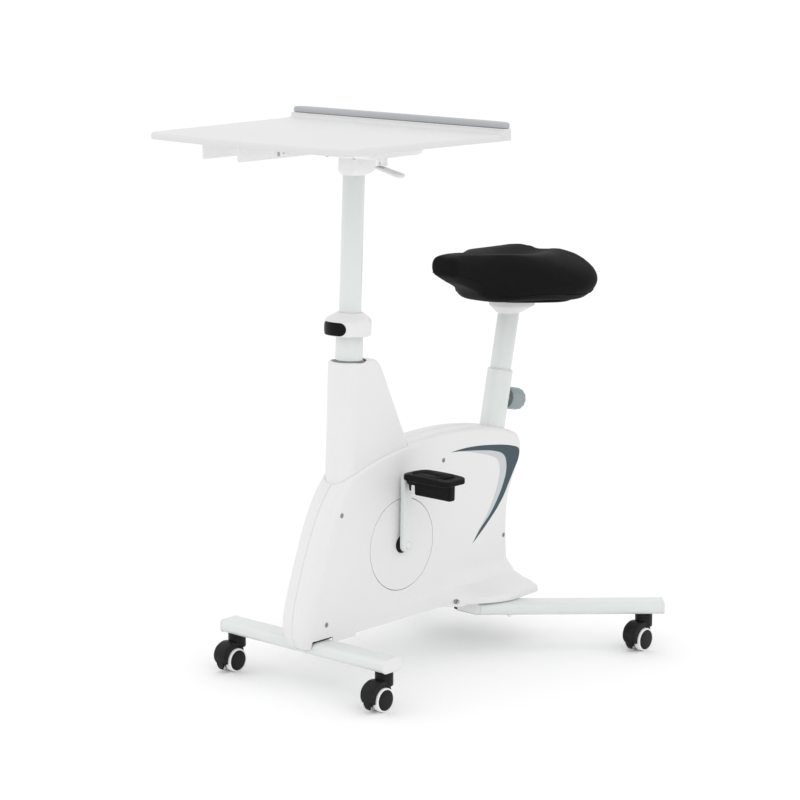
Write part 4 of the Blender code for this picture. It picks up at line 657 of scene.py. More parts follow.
def build_stage():
    view = bpy.data.cameras.new("camera")
    view.lens = LENS
    view.sensor_width = 36.0
    camera = bpy.data.objects.new("camera", view)
    camera.location = CAMERA_PLACE
    camera.rotation_euler = (math.radians(90.0 - CAMERA_DOWN), 0.0, math.radians(CAMERA_ROUND))
    bpy.context.scene.collection.objects.link(camera)
    bpy.context.scene.camera = camera

    bm = bmesh.new()
    bmesh.ops.create_grid(bm, x_segments=8, y_segments=8, size=FLOOR_SIZE)
    floor = as_object(bm, "floor")
    material = bpy.data.materials.new("pale_floor")
    material.use_nodes = True
    tree = material.node_tree
    shader = tree.nodes["Principled BSDF"]
    colour = tree.nodes.new("ShaderNodeMix")
    colour.data_type = "RGBA"
    colour.inputs[6].default_value = (0.965, 0.965, 0.965, 1.0)
    colour.inputs[7].default_value = (0.98, 0.98, 0.98, 1.0)
    tree.links.new(noise_node(tree, object_coordinates(tree), 2.0), colour.inputs[0])
    tree.links.new(colour.outputs[2], shader.inputs["Base Color"])
    shader.inputs["Roughness"].default_value = 0.8
    shader.inputs["Specular IOR Level"].default_value = 0.1
    floor.data.materials.append(material)

    world = bpy.data.worlds.new("studio")
    bpy.context.scene.world = world
    world.use_nodes = True
    world.node_tree.nodes["Background"].inputs["Color"].default_value = (1.0, 1.0, 1.0, 1.0)
    world.node_tree.nodes["Background"].inputs["Strength"].default_value = 1.05
    for name, place, size, power, aim in (
            ("key", (3.6, -2.4, 3.6), 2.6, 13.0, (0.0, 0.0, 0.6)),
            ("fill", (-3.4, -2.2, 2.6), 3.2, 9.0, (0.0, 0.0, 0.6)),
            ("top", (0.2, 0.4, 4.2), 3.0, 7.0, (0.0, 0.0, 0.5))):
        light = bpy.data.lights.new(name, "AREA")
        light.shape = "DISK"
        light.size = size
        light.energy = power
        lamp = bpy.data.objects.new(name, light)
        lamp.location = place
        lamp.rotation_euler = (Vector(place) - Vector(aim)).to_track_quat("Z", "Y").to_euler()
        bpy.context.scene.collection.objects.link(lamp)
    bpy.context.scene.view_settings.view_transform = "Standard"


build_stage()


# CAD nodes that keep their own shape get a full finish too

def dress_nodes():
    slots = {part["node"]: part["material_slot"] for part in frame["record"]["subparts"]}
    for name, node in frame["nodes"].items():
        finish = SLOT_FINISHES[slots[name]][0]
        if not node.material_slots:
            node.data.materials.append(finish)
        for holder in node.material_slots:
            holder.material = finish


dress_nodes()


# Base frame

def bar_section(inset):
    return rounded_box(BAR_DEPTH - 2 * inset, BAR_HEIGHT - 2 * inset, BAR_CORNER - inset)


def bar_tube(length):
    """A length of the rounded rectangular tube, lying along X on its underside."""
    tube = prism(bar_section(0.0), length, bar_section(BAR_WALL))
    return moved(tube, by(0.0, 0.0, BAR_HEIGHT / 2) @ SIDE_VIEW)


def bar_cap():
    """An end cap with a cushioned outer face, its flange from x = 0 outwards."""
    half = BAR_HEIGHT / 2
    rings = []
    for x, inset in ((0.0, 0.0), (0.0034, 0.0), (0.0044, 0.0006), (CAP_FLANGE - 0.0002, 0.0018),
                     (CAP_FLANGE, 0.0040)):
        ring = rounded_box(BAR_DEPTH - 2 * inset, BAR_HEIGHT - 2 * inset, CAP_CORNER - inset)
        rings.append([(x, y, z + half) for y, z in ring])
    plug = prism(bar_section(BAR_WALL + TOUCH), CAP_PLUG - 0.001)
    return merged(loft(rings), moved(plug, by(-CAP_PLUG / 2, 0.0, half) @ SIDE_VIEW))


def build_base():
    lift = by(0.0, 0.0, BAR_UNDERSIDE)
    apex = by(0.0, LEG_APEX_Y, BAR_UNDERSIDE)
    bar_length = FRONT_BAR_LENGTH - 2 * CAP_FLANGE - 2 * TOUCH
    tube_end = LEG_REACH - CAP_FLANGE - TOUCH
    cut_y = LEG_CUT_Y - LEG_APEX_Y
    piece("front_bar_tube", bar_tube(bar_length), WHITE_COAT, "base", ["front_bar"], TO_ROW @ lift)
    for side, hand in HANDS:
        end = by(side * (bar_length / 2 + TOUCH), 0.0, 0.0)
        piece("front_cap_" + hand, bar_cap(), WHITE_ABS, "base", ["front_bar_cap_" + hand],
              TO_ROW @ lift @ end @ turned(side))
        heading = Matrix.Rotation(math.pi / 2 - side * LEG_ANGLE, 4, "Z")
        leg = moved(bar_tube(tube_end), heading @ by(tube_end / 2, 0.0, 0.0))
        sliced(leg, (0.0, cut_y, 0.0), Y_AXIS, cut_off=True)
        piece("rear_leg_tube_" + hand, leg, WHITE_COAT, "base", ["rear_leg_" + hand], TO_ROW @ apex)
        plug = moved(prism(bar_section(BAR_WALL + TOUCH), LEG_PLUG),
                     heading @ by(LEG_PLUG / 2, 0.0, BAR_HEIGHT / 2) @ SIDE_VIEW)
        sliced(plug, (0.0, cut_y + 0.0006, 0.0), Y_AXIS, cut_off=True)
        piece("rear_leg_plug_" + hand, plug, WHITE_SHEET_SHADE_LIFT, "base", (), TO_ROW @ apex)
        vent = moved(prism(rounded_box(0.0104, 0.0046, 0.0022, 6), 0.0008),
                     by(side * 0.0262, LEG_CUT_Y + 0.0003, BAR_UNDERSIDE + 0.0054) @ FRONT_VIEW)
        piece("rear_leg_vent_" + hand, vent, BLACK_RUBBER, "base")
        stud = lathe([(0.0, 0.0), (0.0058, 0.0), (0.0058, -0.0030), (0.0052, -0.0042), (0.0036, -0.0052),
                      (0.0, -0.0055)], 6)
        piece("rear_leg_stud_" + hand, moved(stud, by(side * 0.1454, 0.5345, BAR_UNDERSIDE)), WHITE_SHEET_SHADE_LIFT,
              "base")
        piece("rear_cap_" + hand, bar_cap(), WHITE_ABS, "base", ["rear_leg_cap_" + hand],
              TO_ROW @ apex @ heading @ by(LEG_REACH - CAP_FLANGE, 0.0, 0.0))


build_base()


# Post, seat tube and casters

def tube_profile(outer, bottom, top, lip=0.0006):
    """Half section of a tube with softened ends."""
    inner = outer - TUBE_WALL
    return [(outer, bottom + lip), (outer, top - lip), (outer - lip * 0.3, top - lip * 0.3),
            (outer - lip, top), (inner + lip, top), (inner, top - lip), (inner, bottom + lip),
            (inner + lip, bottom), (outer - lip, bottom), (outer - lip * 0.3, bottom + lip * 0.3)]


def build_post():
    outer = lathe(tube_profile(POST_OUTER_RADIUS, TUBE_FOOT, POST_TUBE_TOP), 72, closed=True)
    moved(outer, POST_AXIS)
    sliced(outer, (0.0, 0.0, BEAM_TOP + TOUCH), Z_AXIS, cut_off=True)
    piece("post_outer", outer, WHITE_COAT, "base", ["post_outer_tube"])
    inner = lathe(tube_profile(POST_INNER_RADIUS, 0.690, POST_TOP), 72, closed=True)
    piece("post_inner", inner, WHITE_COAT, "desk_post", ["post_inner_tube"], TO_ROW @ POST_AXIS)
    build_collar()
    build_head()


def build_collar():
    """The locking collar: its barrel stands forward of the tube and carries a plain pill badge."""
    guide = 0.0254
    on_tube = 0.0313
    sections = [(0.8455, 0.0285, 0.0), (0.8460, 0.0292, 0.0), (0.8458, 0.0300, -0.0001),
                (0.8448, 0.0312, -0.0003), (0.8412, 0.0368, -0.0012), (0.8368, 0.0440, -0.0030),
                (0.8328, 0.0492, -0.0046), (0.8300, 0.0516, -0.0055), (0.8280, 0.0526, -0.0059),
                (0.8255, 0.0531, -0.0060), (0.8220, 0.0532, -0.0060), (0.7985, 0.0529, -0.0060),
                (0.7962, 0.0524, -0.0060), (0.7952, 0.0512, -0.0059), (0.7950, 0.0495, -0.0058),
                (0.7950, 0.0330, 0.0), (0.7954, on_tube, 0.0), (0.8343, on_tube, 0.0),
                (0.8343, guide, 0.0), (0.8450, guide, 0.0), (0.8455, guide + 0.0005, 0.0)]
    rings = []
    for z, radius, shift in sections:
        rings.append([(x, y + shift, z) for x, y in arc((0.0, 0.0), radius, 0.0, 360.0, 96)[:-1]])
    collar = closed_up(loft(rings + [rings[0]], cap_start=False, cap_end=False))
    piece("collar", collar, WHITE_ABS, "base", ["post_collar"], TO_ROW @ POST_AXIS)

    reach, forward, level = 0.0530, -0.0060, 0.8122
    for name, length, height, proud, finish in (
            ("collar_badge_rim", 0.0745, 0.0330, 0.0007, WHITE_ABS),
            ("collar_badge", 0.0715, 0.0300, 0.0013, BADGE_BLACK)):
        outline = rounded_box(length, height, height * 0.499, 16)
        pill = moved(prism(outline, proud + 0.0004), FRONT_VIEW)
        rim_round(pill, 0.00025, 2)
        for i in range(-20, 21):
            sliced(pill, (i * length / 41, 0.0, 0.0), X_AXIS)
        middle = (proud - 0.0004) / 2
        for vert in pill.verts:
            turn = vert.co.x / reach
            stand = reach + middle - vert.co.y
            vert.co = (stand * math.sin(turn), forward - stand * math.cos(turn), vert.co.z + level)
        bmesh.ops.recalc_face_normals(pill, faces=pill.faces)
        piece(name, pill, finish, "base", (), TO_ROW @ POST_AXIS, 30.0)


def build_head():
    """The cast head: a round sleeve that swells into a block under the carriage."""
    mid_y = POST_FOOT_Y + (HEAD_BOTTOM + HEAD_TOP) / 2 * math.tan(POST_LEAN)
    tube_y = POST_FOOT_Y + HEAD_BOTTOM * math.tan(POST_LEAN)
    sections = ((0.0, 0.0560, 0.0560, 0.0279, tube_y), (0.0006, 0.0574, 0.0578, 0.0284, tube_y),
                (0.0016, 0.0588, 0.0600, 0.0268, tube_y + 0.0006),
                (0.0032, 0.0600, 0.0640, 0.0236, mid_y + 0.0028),
                (0.0056, 0.0610, 0.0684, 0.0196, mid_y + 0.0050),
                (0.0088, 0.0616, 0.0714, 0.0156, mid_y + 0.0068),
                (0.0120, 0.0620, 0.0726, 0.0130, mid_y + 0.0080),
                (0.0170, 0.0620, 0.0730, 0.0118, mid_y + 0.0095),
                (HEAD_TOP - HEAD_BOTTOM - 0.0006, 0.0620, 0.0730, 0.0110, mid_y + 0.0125),
                (HEAD_TOP - HEAD_BOTTOM, 0.0612, 0.0722, 0.0106, mid_y + 0.0125))
    rings = []
    for up, width, depth, radius, y in sections:
        outline = rounded_box(width, depth, min(radius, width / 2 - 0.0001), 10, (0.0, y))
        rings.append(raised(outline, HEAD_BOTTOM + up))
    bore = POST_INNER_RADIUS + TOUCH
    socket = lathe([(0.0, 1.0), (bore, 1.0), (bore, POST_TOP + TOUCH), (0.0, POST_TOP + TOUCH)], 64)
    head = carved(loft(rings), [moved(socket, POST_AXIS)])
    piece("head_casting", head, WHITE_SHEET_SHADE_LIFT, "desk_post", ["head_bracket"])


def socket_bolt(radius, height):
    """A domed bolt head with a hexagon socket, its seat at z = 0."""
    dome = lathe([(0.0, -0.0010), (radius * 0.7, -0.0010), (radius, 0.0), (radius, height * 0.35),
                  (radius * 0.93, height * 0.68), (radius * 0.74, height * 0.92), (radius * 0.5, height),
                  (0.0, height)], 40)
    socket = drum(radius * 0.42, height, 6)
    bmesh.ops.translate(socket, vec=(0.0, 0.0, height * 0.9), verts=socket.verts)
    return carved(dome, [socket])


def cross_screw(radius, height):
    """A flat pan-head screw with a cross recess, its seat at z = 0."""
    pan = lathe([(0.0, -0.0012), (radius, -0.0012), (radius, height * 0.5), (radius * 0.86, height * 0.88),
                 (radius * 0.6, height), (0.0, height)], 40)
    blades = []
    for turn in (0.0, math.pi / 2):
        blade = block(radius * 1.05, radius * 0.26, height)
        bmesh.ops.rotate(blade, matrix=Matrix.Rotation(turn + 0.4, 3, "Z"), verts=blade.verts)
        bmesh.ops.translate(blade, vec=(0.0, 0.0, height * 0.95), verts=blade.verts)
        blades.append(blade)
    return carved(pan, blades)


def build_seat_tubes():
    outer = lathe(tube_profile(SEAT_OUTER_RADIUS, TUBE_FOOT, SEAT_TUBE_TOP, 0.0008), 72, closed=True)
    sliced(moved(outer, SEAT_AXIS), (0.0, 0.0, BEAM_TOP + TOUCH), Z_AXIS, cut_off=True)
    knob_place = by(0.0, 0.0, KNOB_UP_TUBE) @ TO_REAR
    barrel = lathe([(0.0044, 0.0295), (0.0090, 0.0295), (0.0090, 0.0400), (0.0086, 0.0405), (0.0048, 0.0405),
                    (0.0044, 0.0401)], 48, closed=True)
    weld = lathe([(0.0088, 0.0296), (0.0112, 0.0302), (0.0108, 0.0310), (0.0096, 0.0320), (0.0088, 0.0332)],
                 48, closed=True)
    moved(barrel, SEAT_AXIS @ knob_place)
    moved(weld, SEAT_AXIS @ knob_place)
    piece("seat_outer", merged(outer, barrel, weld), WHITE_COAT, "base", ["seat_outer_tube"])
    bush = lathe([(0.0259, 0.6400), (0.0284, 0.6400), (0.0284, 0.6574), (0.0301, 0.6574), (0.0303, 0.6580),
                  (0.0301, 0.6588), (0.0272, 0.6600), (0.0263, 0.6599), (0.0259, 0.6592)], 72, closed=True)
    piece("seat_guide_bush", bush, WHITE_ABS, "base", (), TO_ROW @ SEAT_AXIS)
    inner = lathe(tube_profile(SEAT_INNER_RADIUS, 0.430, 0.812), 72, closed=True)
    heights = [KNOB_UP_TUBE - 0.030 * i for i in range(-1, 5)]
    holes = [moved(drum(0.0044, 0.05, 24), by(0.0, 0.025, up) @ TO_REAR)
             for up in heights if 0.45 < up < 0.637]
    piece("seat_inner", carved(inner, holes), WHITE_COAT, "seat", ["seat_inner_tube"],
          TO_ROW @ SEAT_AXIS)
    build_knob(knob_place)
    build_clamp()


def build_knob(place):
    """The pull knob: a soft lobed grip with a rounded cap, and its bright pin."""
    start = SEAT_OUTER_RADIUS + BARREL_LENGTH + KNOB_GAP
    rings = []
    shape = ((0.0000, 0.0105), (0.0000, 0.0215), (-0.0004, 0.0228), (-0.0064, 0.0236), (-0.0072, 0.0246),
             (-0.0066, 0.0260), (-0.0050, 0.0269), (0.0060, 0.0270), (0.0350, 0.0269), (0.0388, 0.0264),
             (0.0410, 0.0250), (0.0422, 0.0230), (0.0428, 0.0190), (0.0430, 0.0130), (0.0427, 0.0110),
             (0.0427, 0.0040))
    for up, size in shape:
        ring = []
        ribs = 0.0005 if size > 0.024 else 0.0
        for i in range(144):
            angle = 2 * math.pi * i / 144
            radius = size - ribs + ribs * math.cos(12 * angle)
            ring.append((radius * math.cos(angle), radius * math.sin(angle), start + up))
        rings.append(ring)
    grip = loft(rings)
    neck = lathe([(0.0046, start - 0.0008), (0.0100, start - 0.0008), (0.0104, start - 0.0004),
                  (0.0104, start + 0.0002), (0.0046, start + 0.0002)], 56, closed=True)
    piece("knob_grip", merged(grip, neck), KNOB_GREY, "seat_knob", ["seat_knob"],
          TO_ROW @ SEAT_AXIS @ place)
    pin = lathe([(0.0, 0.0263), (0.0034, 0.0263), (0.0040, 0.0269), (0.0040, start + 0.002),
                 (0.0, start + 0.002)], 40)
    piece("knob_pin", pin, BRIGHT_STEEL, "seat_knob", (), TO_ROW @ SEAT_AXIS @ place)


def build_clamp():
    """The cast dome under the saddle: level flange above, round neck below for the leaning tube."""
    top = PAN_TOP - PAN_DEPTH - TOUCH
    foot = 0.7777
    neck_y = SEAT_FOOT_Y + foot * math.tan(SEAT_LEAN)
    rings = []
    for z, radius, back in ((foot, 0.0288, 0.0), (foot + 0.0004, 0.0298, 0.0003),
                            (foot + 0.0014, 0.0314, 0.0008), (0.7832, 0.0372, 0.0032),
                            (0.7878, 0.0448, 0.0068), (0.7918, 0.0512, 0.0098),
                            (0.7944, 0.0544, 0.0113), (0.7960, 0.0553, 0.0118), (0.7978, 0.0556, 0.0120),
                            (top - 0.0005, 0.0556, 0.0120), (top, 0.0551, 0.0120)):
        rings.append([(radius * math.cos(a), neck_y + back + radius * math.sin(a), z)
                      for a in (2 * math.pi * i / 96 for i in range(96))])
    bore = moved(lathe([(0.0, 0.74), (0.0258, 0.74), (0.0258, 0.8126), (0.0, 0.8126)], 72), SEAT_AXIS)
    piece("clamp_dome", carved(loft(rings), [bore]), WHITE_ABS, "seat", ["saddle_clamp"])


def caster_parts():
    """The shapes of one caster about its swivel, with the floor at z = 0."""
    axle = (0.0, -CASTER_TRAIL, WHEEL_RADIUS)
    centre = (axle[1], axle[2])
    width = 0.0360
    crown = smooth_curve([(0.0240, 0.0190), (0.0200, 0.0310), (0.0090, 0.0395), (-0.0060, 0.0422),
                          (-0.0200, 0.0395), (-0.0330, 0.0315), (-0.0398, 0.0190), (-0.0394, 0.0050),
                          (-0.0340, -0.0050)], 5)
    sector = [(centre[0] + y, centre[1] + z) for y, z in crown] + arc(centre, 0.008, 225.0, 330.0, 8)
    hood = rim_round(moved(prism(sector, width), SIDE_VIEW), 0.0022, 4, 60.0)
    top = BAR_UNDERSIDE - TOUCH
    bottom = top - 0.025
    collar = lathe([(0.0, top), (0.0190, top), (0.0200, top - 0.0003), (0.0205, top - 0.0012),
                    (0.0205, top - 0.0060), (0.0200, top - 0.0066), (0.0200, top - 0.0074),
                    (0.0205, top - 0.0080), (0.0205, bottom - 0.0065), (0.0202, bottom - 0.0078),
                    (0.0194, bottom - 0.0086),
                    (0.0, bottom - 0.0090)], 64)
    rooms = [moved(drum(FENDER_INSIDE, WHEEL_ROOM, 64),
                   by(side * (SPINE / 2 + WHEEL_ROOM / 2), axle[1], axle[2]) @ SIDE_VIEW) for side in (1, -1)]
    hood = carved(hood, [collar], "UNION")
    hood = carved(hood, rooms)
    angle = math.radians(8.0)
    pivot = (axle[1] - BRAKE_PIVOT_RADIUS * math.cos(angle), axle[2] - BRAKE_PIVOT_RADIUS * math.sin(angle))
    gap = prism(rounded_box(0.016, 0.016, 0.004, 6, (pivot[0], pivot[1] + 0.004)), BRAKE_WIDTH + 0.0012)
    hood = carved(hood, [moved(gap, SIDE_VIEW)])
    pin = lathe([(0.0, -0.0178), (0.0030, -0.0178), (0.0030, 0.0178), (0.0, 0.0178)], 24)
    hood = merged(hood, moved(pin, by(*axle) @ SIDE_VIEW))

    tyre = [(0.0217, -0.0082), (0.0256, -0.00825), (0.0266, -0.0078), (0.0272, -0.0068), (0.0275, -0.0050),
            (0.0275, 0.0050), (0.0272, 0.0068), (0.0266, 0.0078), (0.0256, 0.00825), (0.0242, 0.00825),
            (0.0238, 0.0080), (0.0237, 0.0074), (0.0217, 0.0072)]
    hub = [(0.0, 0.01045), (0.0080, 0.01040), (0.0140, 0.01020), (0.0190, 0.00980), (0.0215, 0.00930),
           (0.0229, 0.00860), (0.0235, 0.00780), (0.0234, 0.00735), (0.0215, 0.00700), (0.0215, -0.0080),
           (0.0120, -0.0080), (0.0120, -0.0060), (0.0070, -0.0060), (0.0070, -0.0080), (0.0034, -0.0080),
           (0.0034, 0.0046), (0.0, 0.0046)]
    wheel = (lathe(tyre, 72, closed=True), lathe(hub, 72))

    outline = smooth_curve([(0.0040, 0.0100), (0.0000, 0.0112), (-0.0040, 0.0100), (-0.0062, 0.0040),
                            (-0.0060, -0.0060), (-0.0036, -0.0124), (-0.0012, -0.0148), (0.0006, -0.0142),
                            (-0.0002, -0.0100), (-0.0008, -0.0040), (0.0008, 0.0020), (0.0030, 0.0060)], 4)
    brake = moved(prism([(pivot[0] + y - 0.0005, pivot[1] + z) for y, z in outline], BRAKE_WIDTH), SIDE_VIEW)
    for vert in brake.verts:
        drop = min(1.0, max(0.0, (pivot[1] - 0.002 - vert.co.z) / 0.013))
        vert.co.x *= 1.0 - 0.55 * drop
    rim_round(brake, 0.0008, 3, 60.0)
    return hood, wheel, brake, axle


def build_casters():
    hood, wheel, brake, axle = caster_parts()
    rear_x = REAR_CASTER_REACH * math.sin(LEG_ANGLE)
    rear_y = LEG_APEX_Y + REAR_CASTER_REACH * math.cos(LEG_ANGLE)
    places = (("front_left", FRONT_CASTER_X, 0.0), ("front_right", -FRONT_CASTER_X, 0.0),
              ("rear_left", rear_x, rear_y), ("rear_right", -rear_x, rear_y))
    for corner, x, y in places:
        name = "caster_" + corner
        place = TO_ROW @ by(x, y, 0.0)
        piece(name + "_cowl", hood.copy(), BLACK_NYLON, name, [name + "_hood"], place, 32.0)
        piece(name + "_lever", brake.copy(), BLACK_NYLON, name + "_brake",
              [name + "_brake"], place, 32.0)
        for side, hand in HANDS:
            at = place @ by(side * WHEEL_MID_X, axle[1], axle[2]) @ turned(side) @ SIDE_VIEW
            body = name + "_wheel_" + hand
            piece(body + "_tyre", wheel[0].copy(), TYRE_WHITE, body, [body], at, 40.0)
            piece(body + "_hub", wheel[1].copy(), BLACK_NYLON, body, (), at, 40.0)


build_post()
build_seat_tubes()
build_casters()


# Housing, column cover and drive

FRONT_EDGE = ((-0.040, 0.098), (-0.053, 0.130), (-0.053, 0.165), (-0.043, 0.210), (-0.021, 0.276),
              (0.001, 0.334), (0.031, 0.397), (0.064, 0.446), (0.100, 0.483))
TOP_EDGE = ((0.100, 0.483), (0.180, 0.507), (0.270, 0.522), (0.360, 0.530), (0.440, 0.532),
            (0.520, 0.528), (0.600, 0.517), (0.658, 0.502))
REAR_EDGE = ((0.658, 0.502), (0.690, 0.486), (0.7015, 0.457), (0.693, 0.420), (0.668, 0.372),
             (0.652, 0.325), (0.648, 0.262), (0.651, 0.200), (0.659, 0.150), (0.666, 0.098))
# How far the skirt stands out by height, as a share of its reach
SKIRT_RISE = ((0.098, 1.0), (0.1335, 1.0), (0.141, 0.84), (0.149, 0.50), (0.160, 0.22), (0.190, 0.0))
SKIRT_REACH = 0.099
SKIRT_START_Y = 0.400
SKIRT_FULL_Y = 0.560
SKIRT_TIP_Y = 0.664


def share_at(table, value):
    """A value read from a table of (place, share), smooth between its rows."""
    if value <= table[0][0]:
        return table[0][1]
    for (a, share_a), (b, share_b) in zip(table, table[1:]):
        if value <= b:
            t = (value - a) / (b - a)
            t = 0.35 * t + 0.65 * t * t * (3 - 2 * t)
            return share_a + (share_b - share_a) * t
    return table[-1][1]


def skirt_spread(y, z):
    """How far the housing's side stands out over a rear leg."""
    along = min(1.0, max(0.0, (y - SKIRT_START_Y) / (SKIRT_FULL_Y - SKIRT_START_Y)))
    spread = SKIRT_REACH * math.sin(math.pi / 2 * along) * share_at(SKIRT_RISE, z)
    tail = max(0.0, (y - SKIRT_FULL_Y) / (SKIRT_TIP_Y - SKIRT_FULL_Y))
    return spread * (1.0 - 0.07 * tail)


def side_drill(radius, low, y, z, steps, flare):
    """A round cutter through the left side, its mouth flared a little at the outer end."""
    profile = [(0.0, low), (radius, low), (radius, HALF_WIDTH - flare), (radius + flare, HALF_WIDTH + 0.0001),
               (radius + flare, 0.2), (0.0, 0.2)]
    return moved(lathe(profile, steps), by(0.0, y, z) @ SIDE_VIEW)


def housing_skin():
    """The outside of the left half, open at the seam and below."""
    front = smooth_curve(FRONT_EDGE, 7)[:-1]
    over = smooth_curve(TOP_EDGE, 5)[:-1]
    rear = smooth_curve(REAR_EDGE, 8)
    outline = []
    for i, point in enumerate(front):
        fade = max(0.0, (i - len(front) * 0.6) / (len(front) * 0.4))
        outline.append((Vector(point), FRONT_ROUND - (FRONT_ROUND - EDGE_ROUND) * fade))
    outline += [(Vector(point), EDGE_ROUND) for point in over + rear]
    normals = []
    for i in range(len(outline)):
        ahead = outline[min(i + 1, len(outline) - 1)][0] - outline[max(i - 1, 0)][0]
        normals.append(Vector((ahead.y, -ahead.x)).normalized())
    bm = bmesh.new()
    rings = []
    for step in range(-1, 13):
        ring = []
        for (point, edge), normal in zip(outline, normals):
            turn = math.radians(90.0 * max(0, step) / 12)
            x = SEAM if step < 0 else HALF_WIDTH - edge + edge * math.sin(turn)
            inset = edge * (1.0 - math.cos(turn))
            ring.append(bm.verts.new((x, point.x + normal.x * inset, point.y + normal.y * inset)))
        rings.append((ring, [bm.edges.new(pair) for pair in zip(ring, ring[1:])]))
    for (_, low), (_, high) in zip(rings, rings[1:]):
        bmesh.ops.bridge_loops(bm, edges=low + high)
    bm.faces.new(rings[-1][0])
    # Level and upright cuts give the flat side points where its skirt swells out.
    gridded(bm, 0.00005, (Z_AXIS, 0.098 + 0.0046, 0.0046, 21), (Y_AXIS, SKIRT_START_Y, 0.0155, 18))
    for vert in bm.verts:
        share = max(0.0, (vert.co.x - SEAM) / (HALF_WIDTH - SEAM))
        vert.co.x += share * skirt_spread(vert.co.y, vert.co.z)
    bmesh.ops.recalc_face_normals(bm, faces=bm.faces)
    return bm


def walled(bm):
    """An open skin given its wall on the inside."""
    obj = as_object(bm, "skin")
    wall = obj.modifiers.new("Wall", "SOLIDIFY")
    wall.thickness = WALL
    wall.offset = -1.0
    bpy.context.view_layer.update()
    return frozen(obj)


def eased_seam(bm):
    """The half's outer edge along the seam, rounded so that the two halves meet in a fine groove."""
    middle = Vector((0.0, 0.30, 0.30))
    rim = []
    for edge in bm.edges:
        if all(abs(vert.co.x - SEAM) < 0.00001 for vert in edge.verts) and len(edge.link_faces) == 2:
            side = min(edge.link_faces, key=lambda face: abs(face.normal.x))
            flat = max(edge.link_faces, key=lambda face: abs(face.normal.x))
            if abs(flat.normal.x) > 0.9 and side.normal.dot(edge.verts[0].co - middle) > 0.0:
                rim.append(edge)
    bmesh.ops.bevel(bm, geom=rim, offset=0.0007, segments=2, profile=0.5, affect="EDGES", material=-1)
    return bm


def floor_cutter():
    """Everything below the housing's lower edge, with the notch over the front bar."""
    notch_y = BAR_DEPTH / 2 + 0.0025
    notch_z = BAR_UNDERSIDE + BAR_HEIGHT + 0.0045
    corner_y, corner_z = notch_y - NOTCH_ROUND, notch_z - NOTCH_ROUND
    outline = [(-0.2, 0.05), (-0.2, FRONT_SILL), (-notch_y, FRONT_SILL), (-notch_y, corner_z)]
    outline += arc((-corner_y, corner_z), NOTCH_ROUND, 180.0, 90.0, 4)
    outline += arc((corner_y, corner_z), NOTCH_ROUND, 90.0, 0.0, 4)
    outline += [(notch_y, FRONT_SILL), (0.102, FRONT_SILL), (0.110, SIDE_SILL), (0.440, SIDE_SILL),
                (0.446, REAR_SILL), (0.9, REAR_SILL), (0.9, 0.05)]
    return moved(prism(outline, 0.6), SIDE_VIEW)


def column_sides(z):
    """Front and rear edge of the column cover at a height, its top rear corner rounded off."""
    down = (COLUMN_TOP - z) / (COLUMN_TOP - COLUMN_FOOT)
    front = COLUMN_FRONT_TOP + (COLUMN_FRONT_FOOT - COLUMN_FRONT_TOP) * down
    rear = COLUMN_REAR_TOP + COLUMN_REAR_SLOPE * down
    short = COLUMN_REAR_ROUND
    up = max(0.0, (z - (COLUMN_TOP - short)) / short)
    return front, rear - short * (1.0 - math.sqrt(max(0.0, 1.0 - min(1.0, up) ** 2)))


def column_section(z, spread):
    """The column cover's section at a height, fuller at its nose than at its tail."""
    front, rear = column_sides(z)
    half = COLUMN_HALF_WIDTH
    nose = half - 0.006
    tail = 0.014
    points = []
    for x, y, radius, start in ((half - tail, rear - tail, tail, 0.0), (tail - half, rear - tail, tail, 90.0),
                                (nose - half, front + nose, nose, 180.0),
                                (half - nose, front + nose, nose, 270.0)):
        points += arc((x, y), radius + spread, start, start + 90.0, 14)
    return points


def column_skin(spread, closed):
    """The column cover's outside, or the cutter for its opening in the housing."""
    heights = [COLUMN_FOOT - (0.004 if closed else 0.0)]
    heights += [COLUMN_FOOT + (COLUMN_TOP - COLUMN_SHOULDER - COLUMN_FOOT) * i / 8 for i in range(1, 9)]
    heights += [COLUMN_TOP - COLUMN_SHOULDER + 0.0025 * i for i in range(1, 9)]
    rings = [raised(column_section(z, spread), z) for z in heights]
    if closed:
        rings.append(raised(column_section(COLUMN_TOP, spread), COLUMN_TOP))
    else:
        base = COLUMN_TOP - COLUMN_LIP
        for i in range(1, 9):
            turn = math.radians(90.0 * i / 8)
            section = column_section(base + 0.0035 * i / 8, spread - COLUMN_LIP * (1.0 - math.cos(turn)))
            rings.append(raised(section, base + COLUMN_LIP * math.sin(turn)))
    return loft(rings, cap_start=closed)


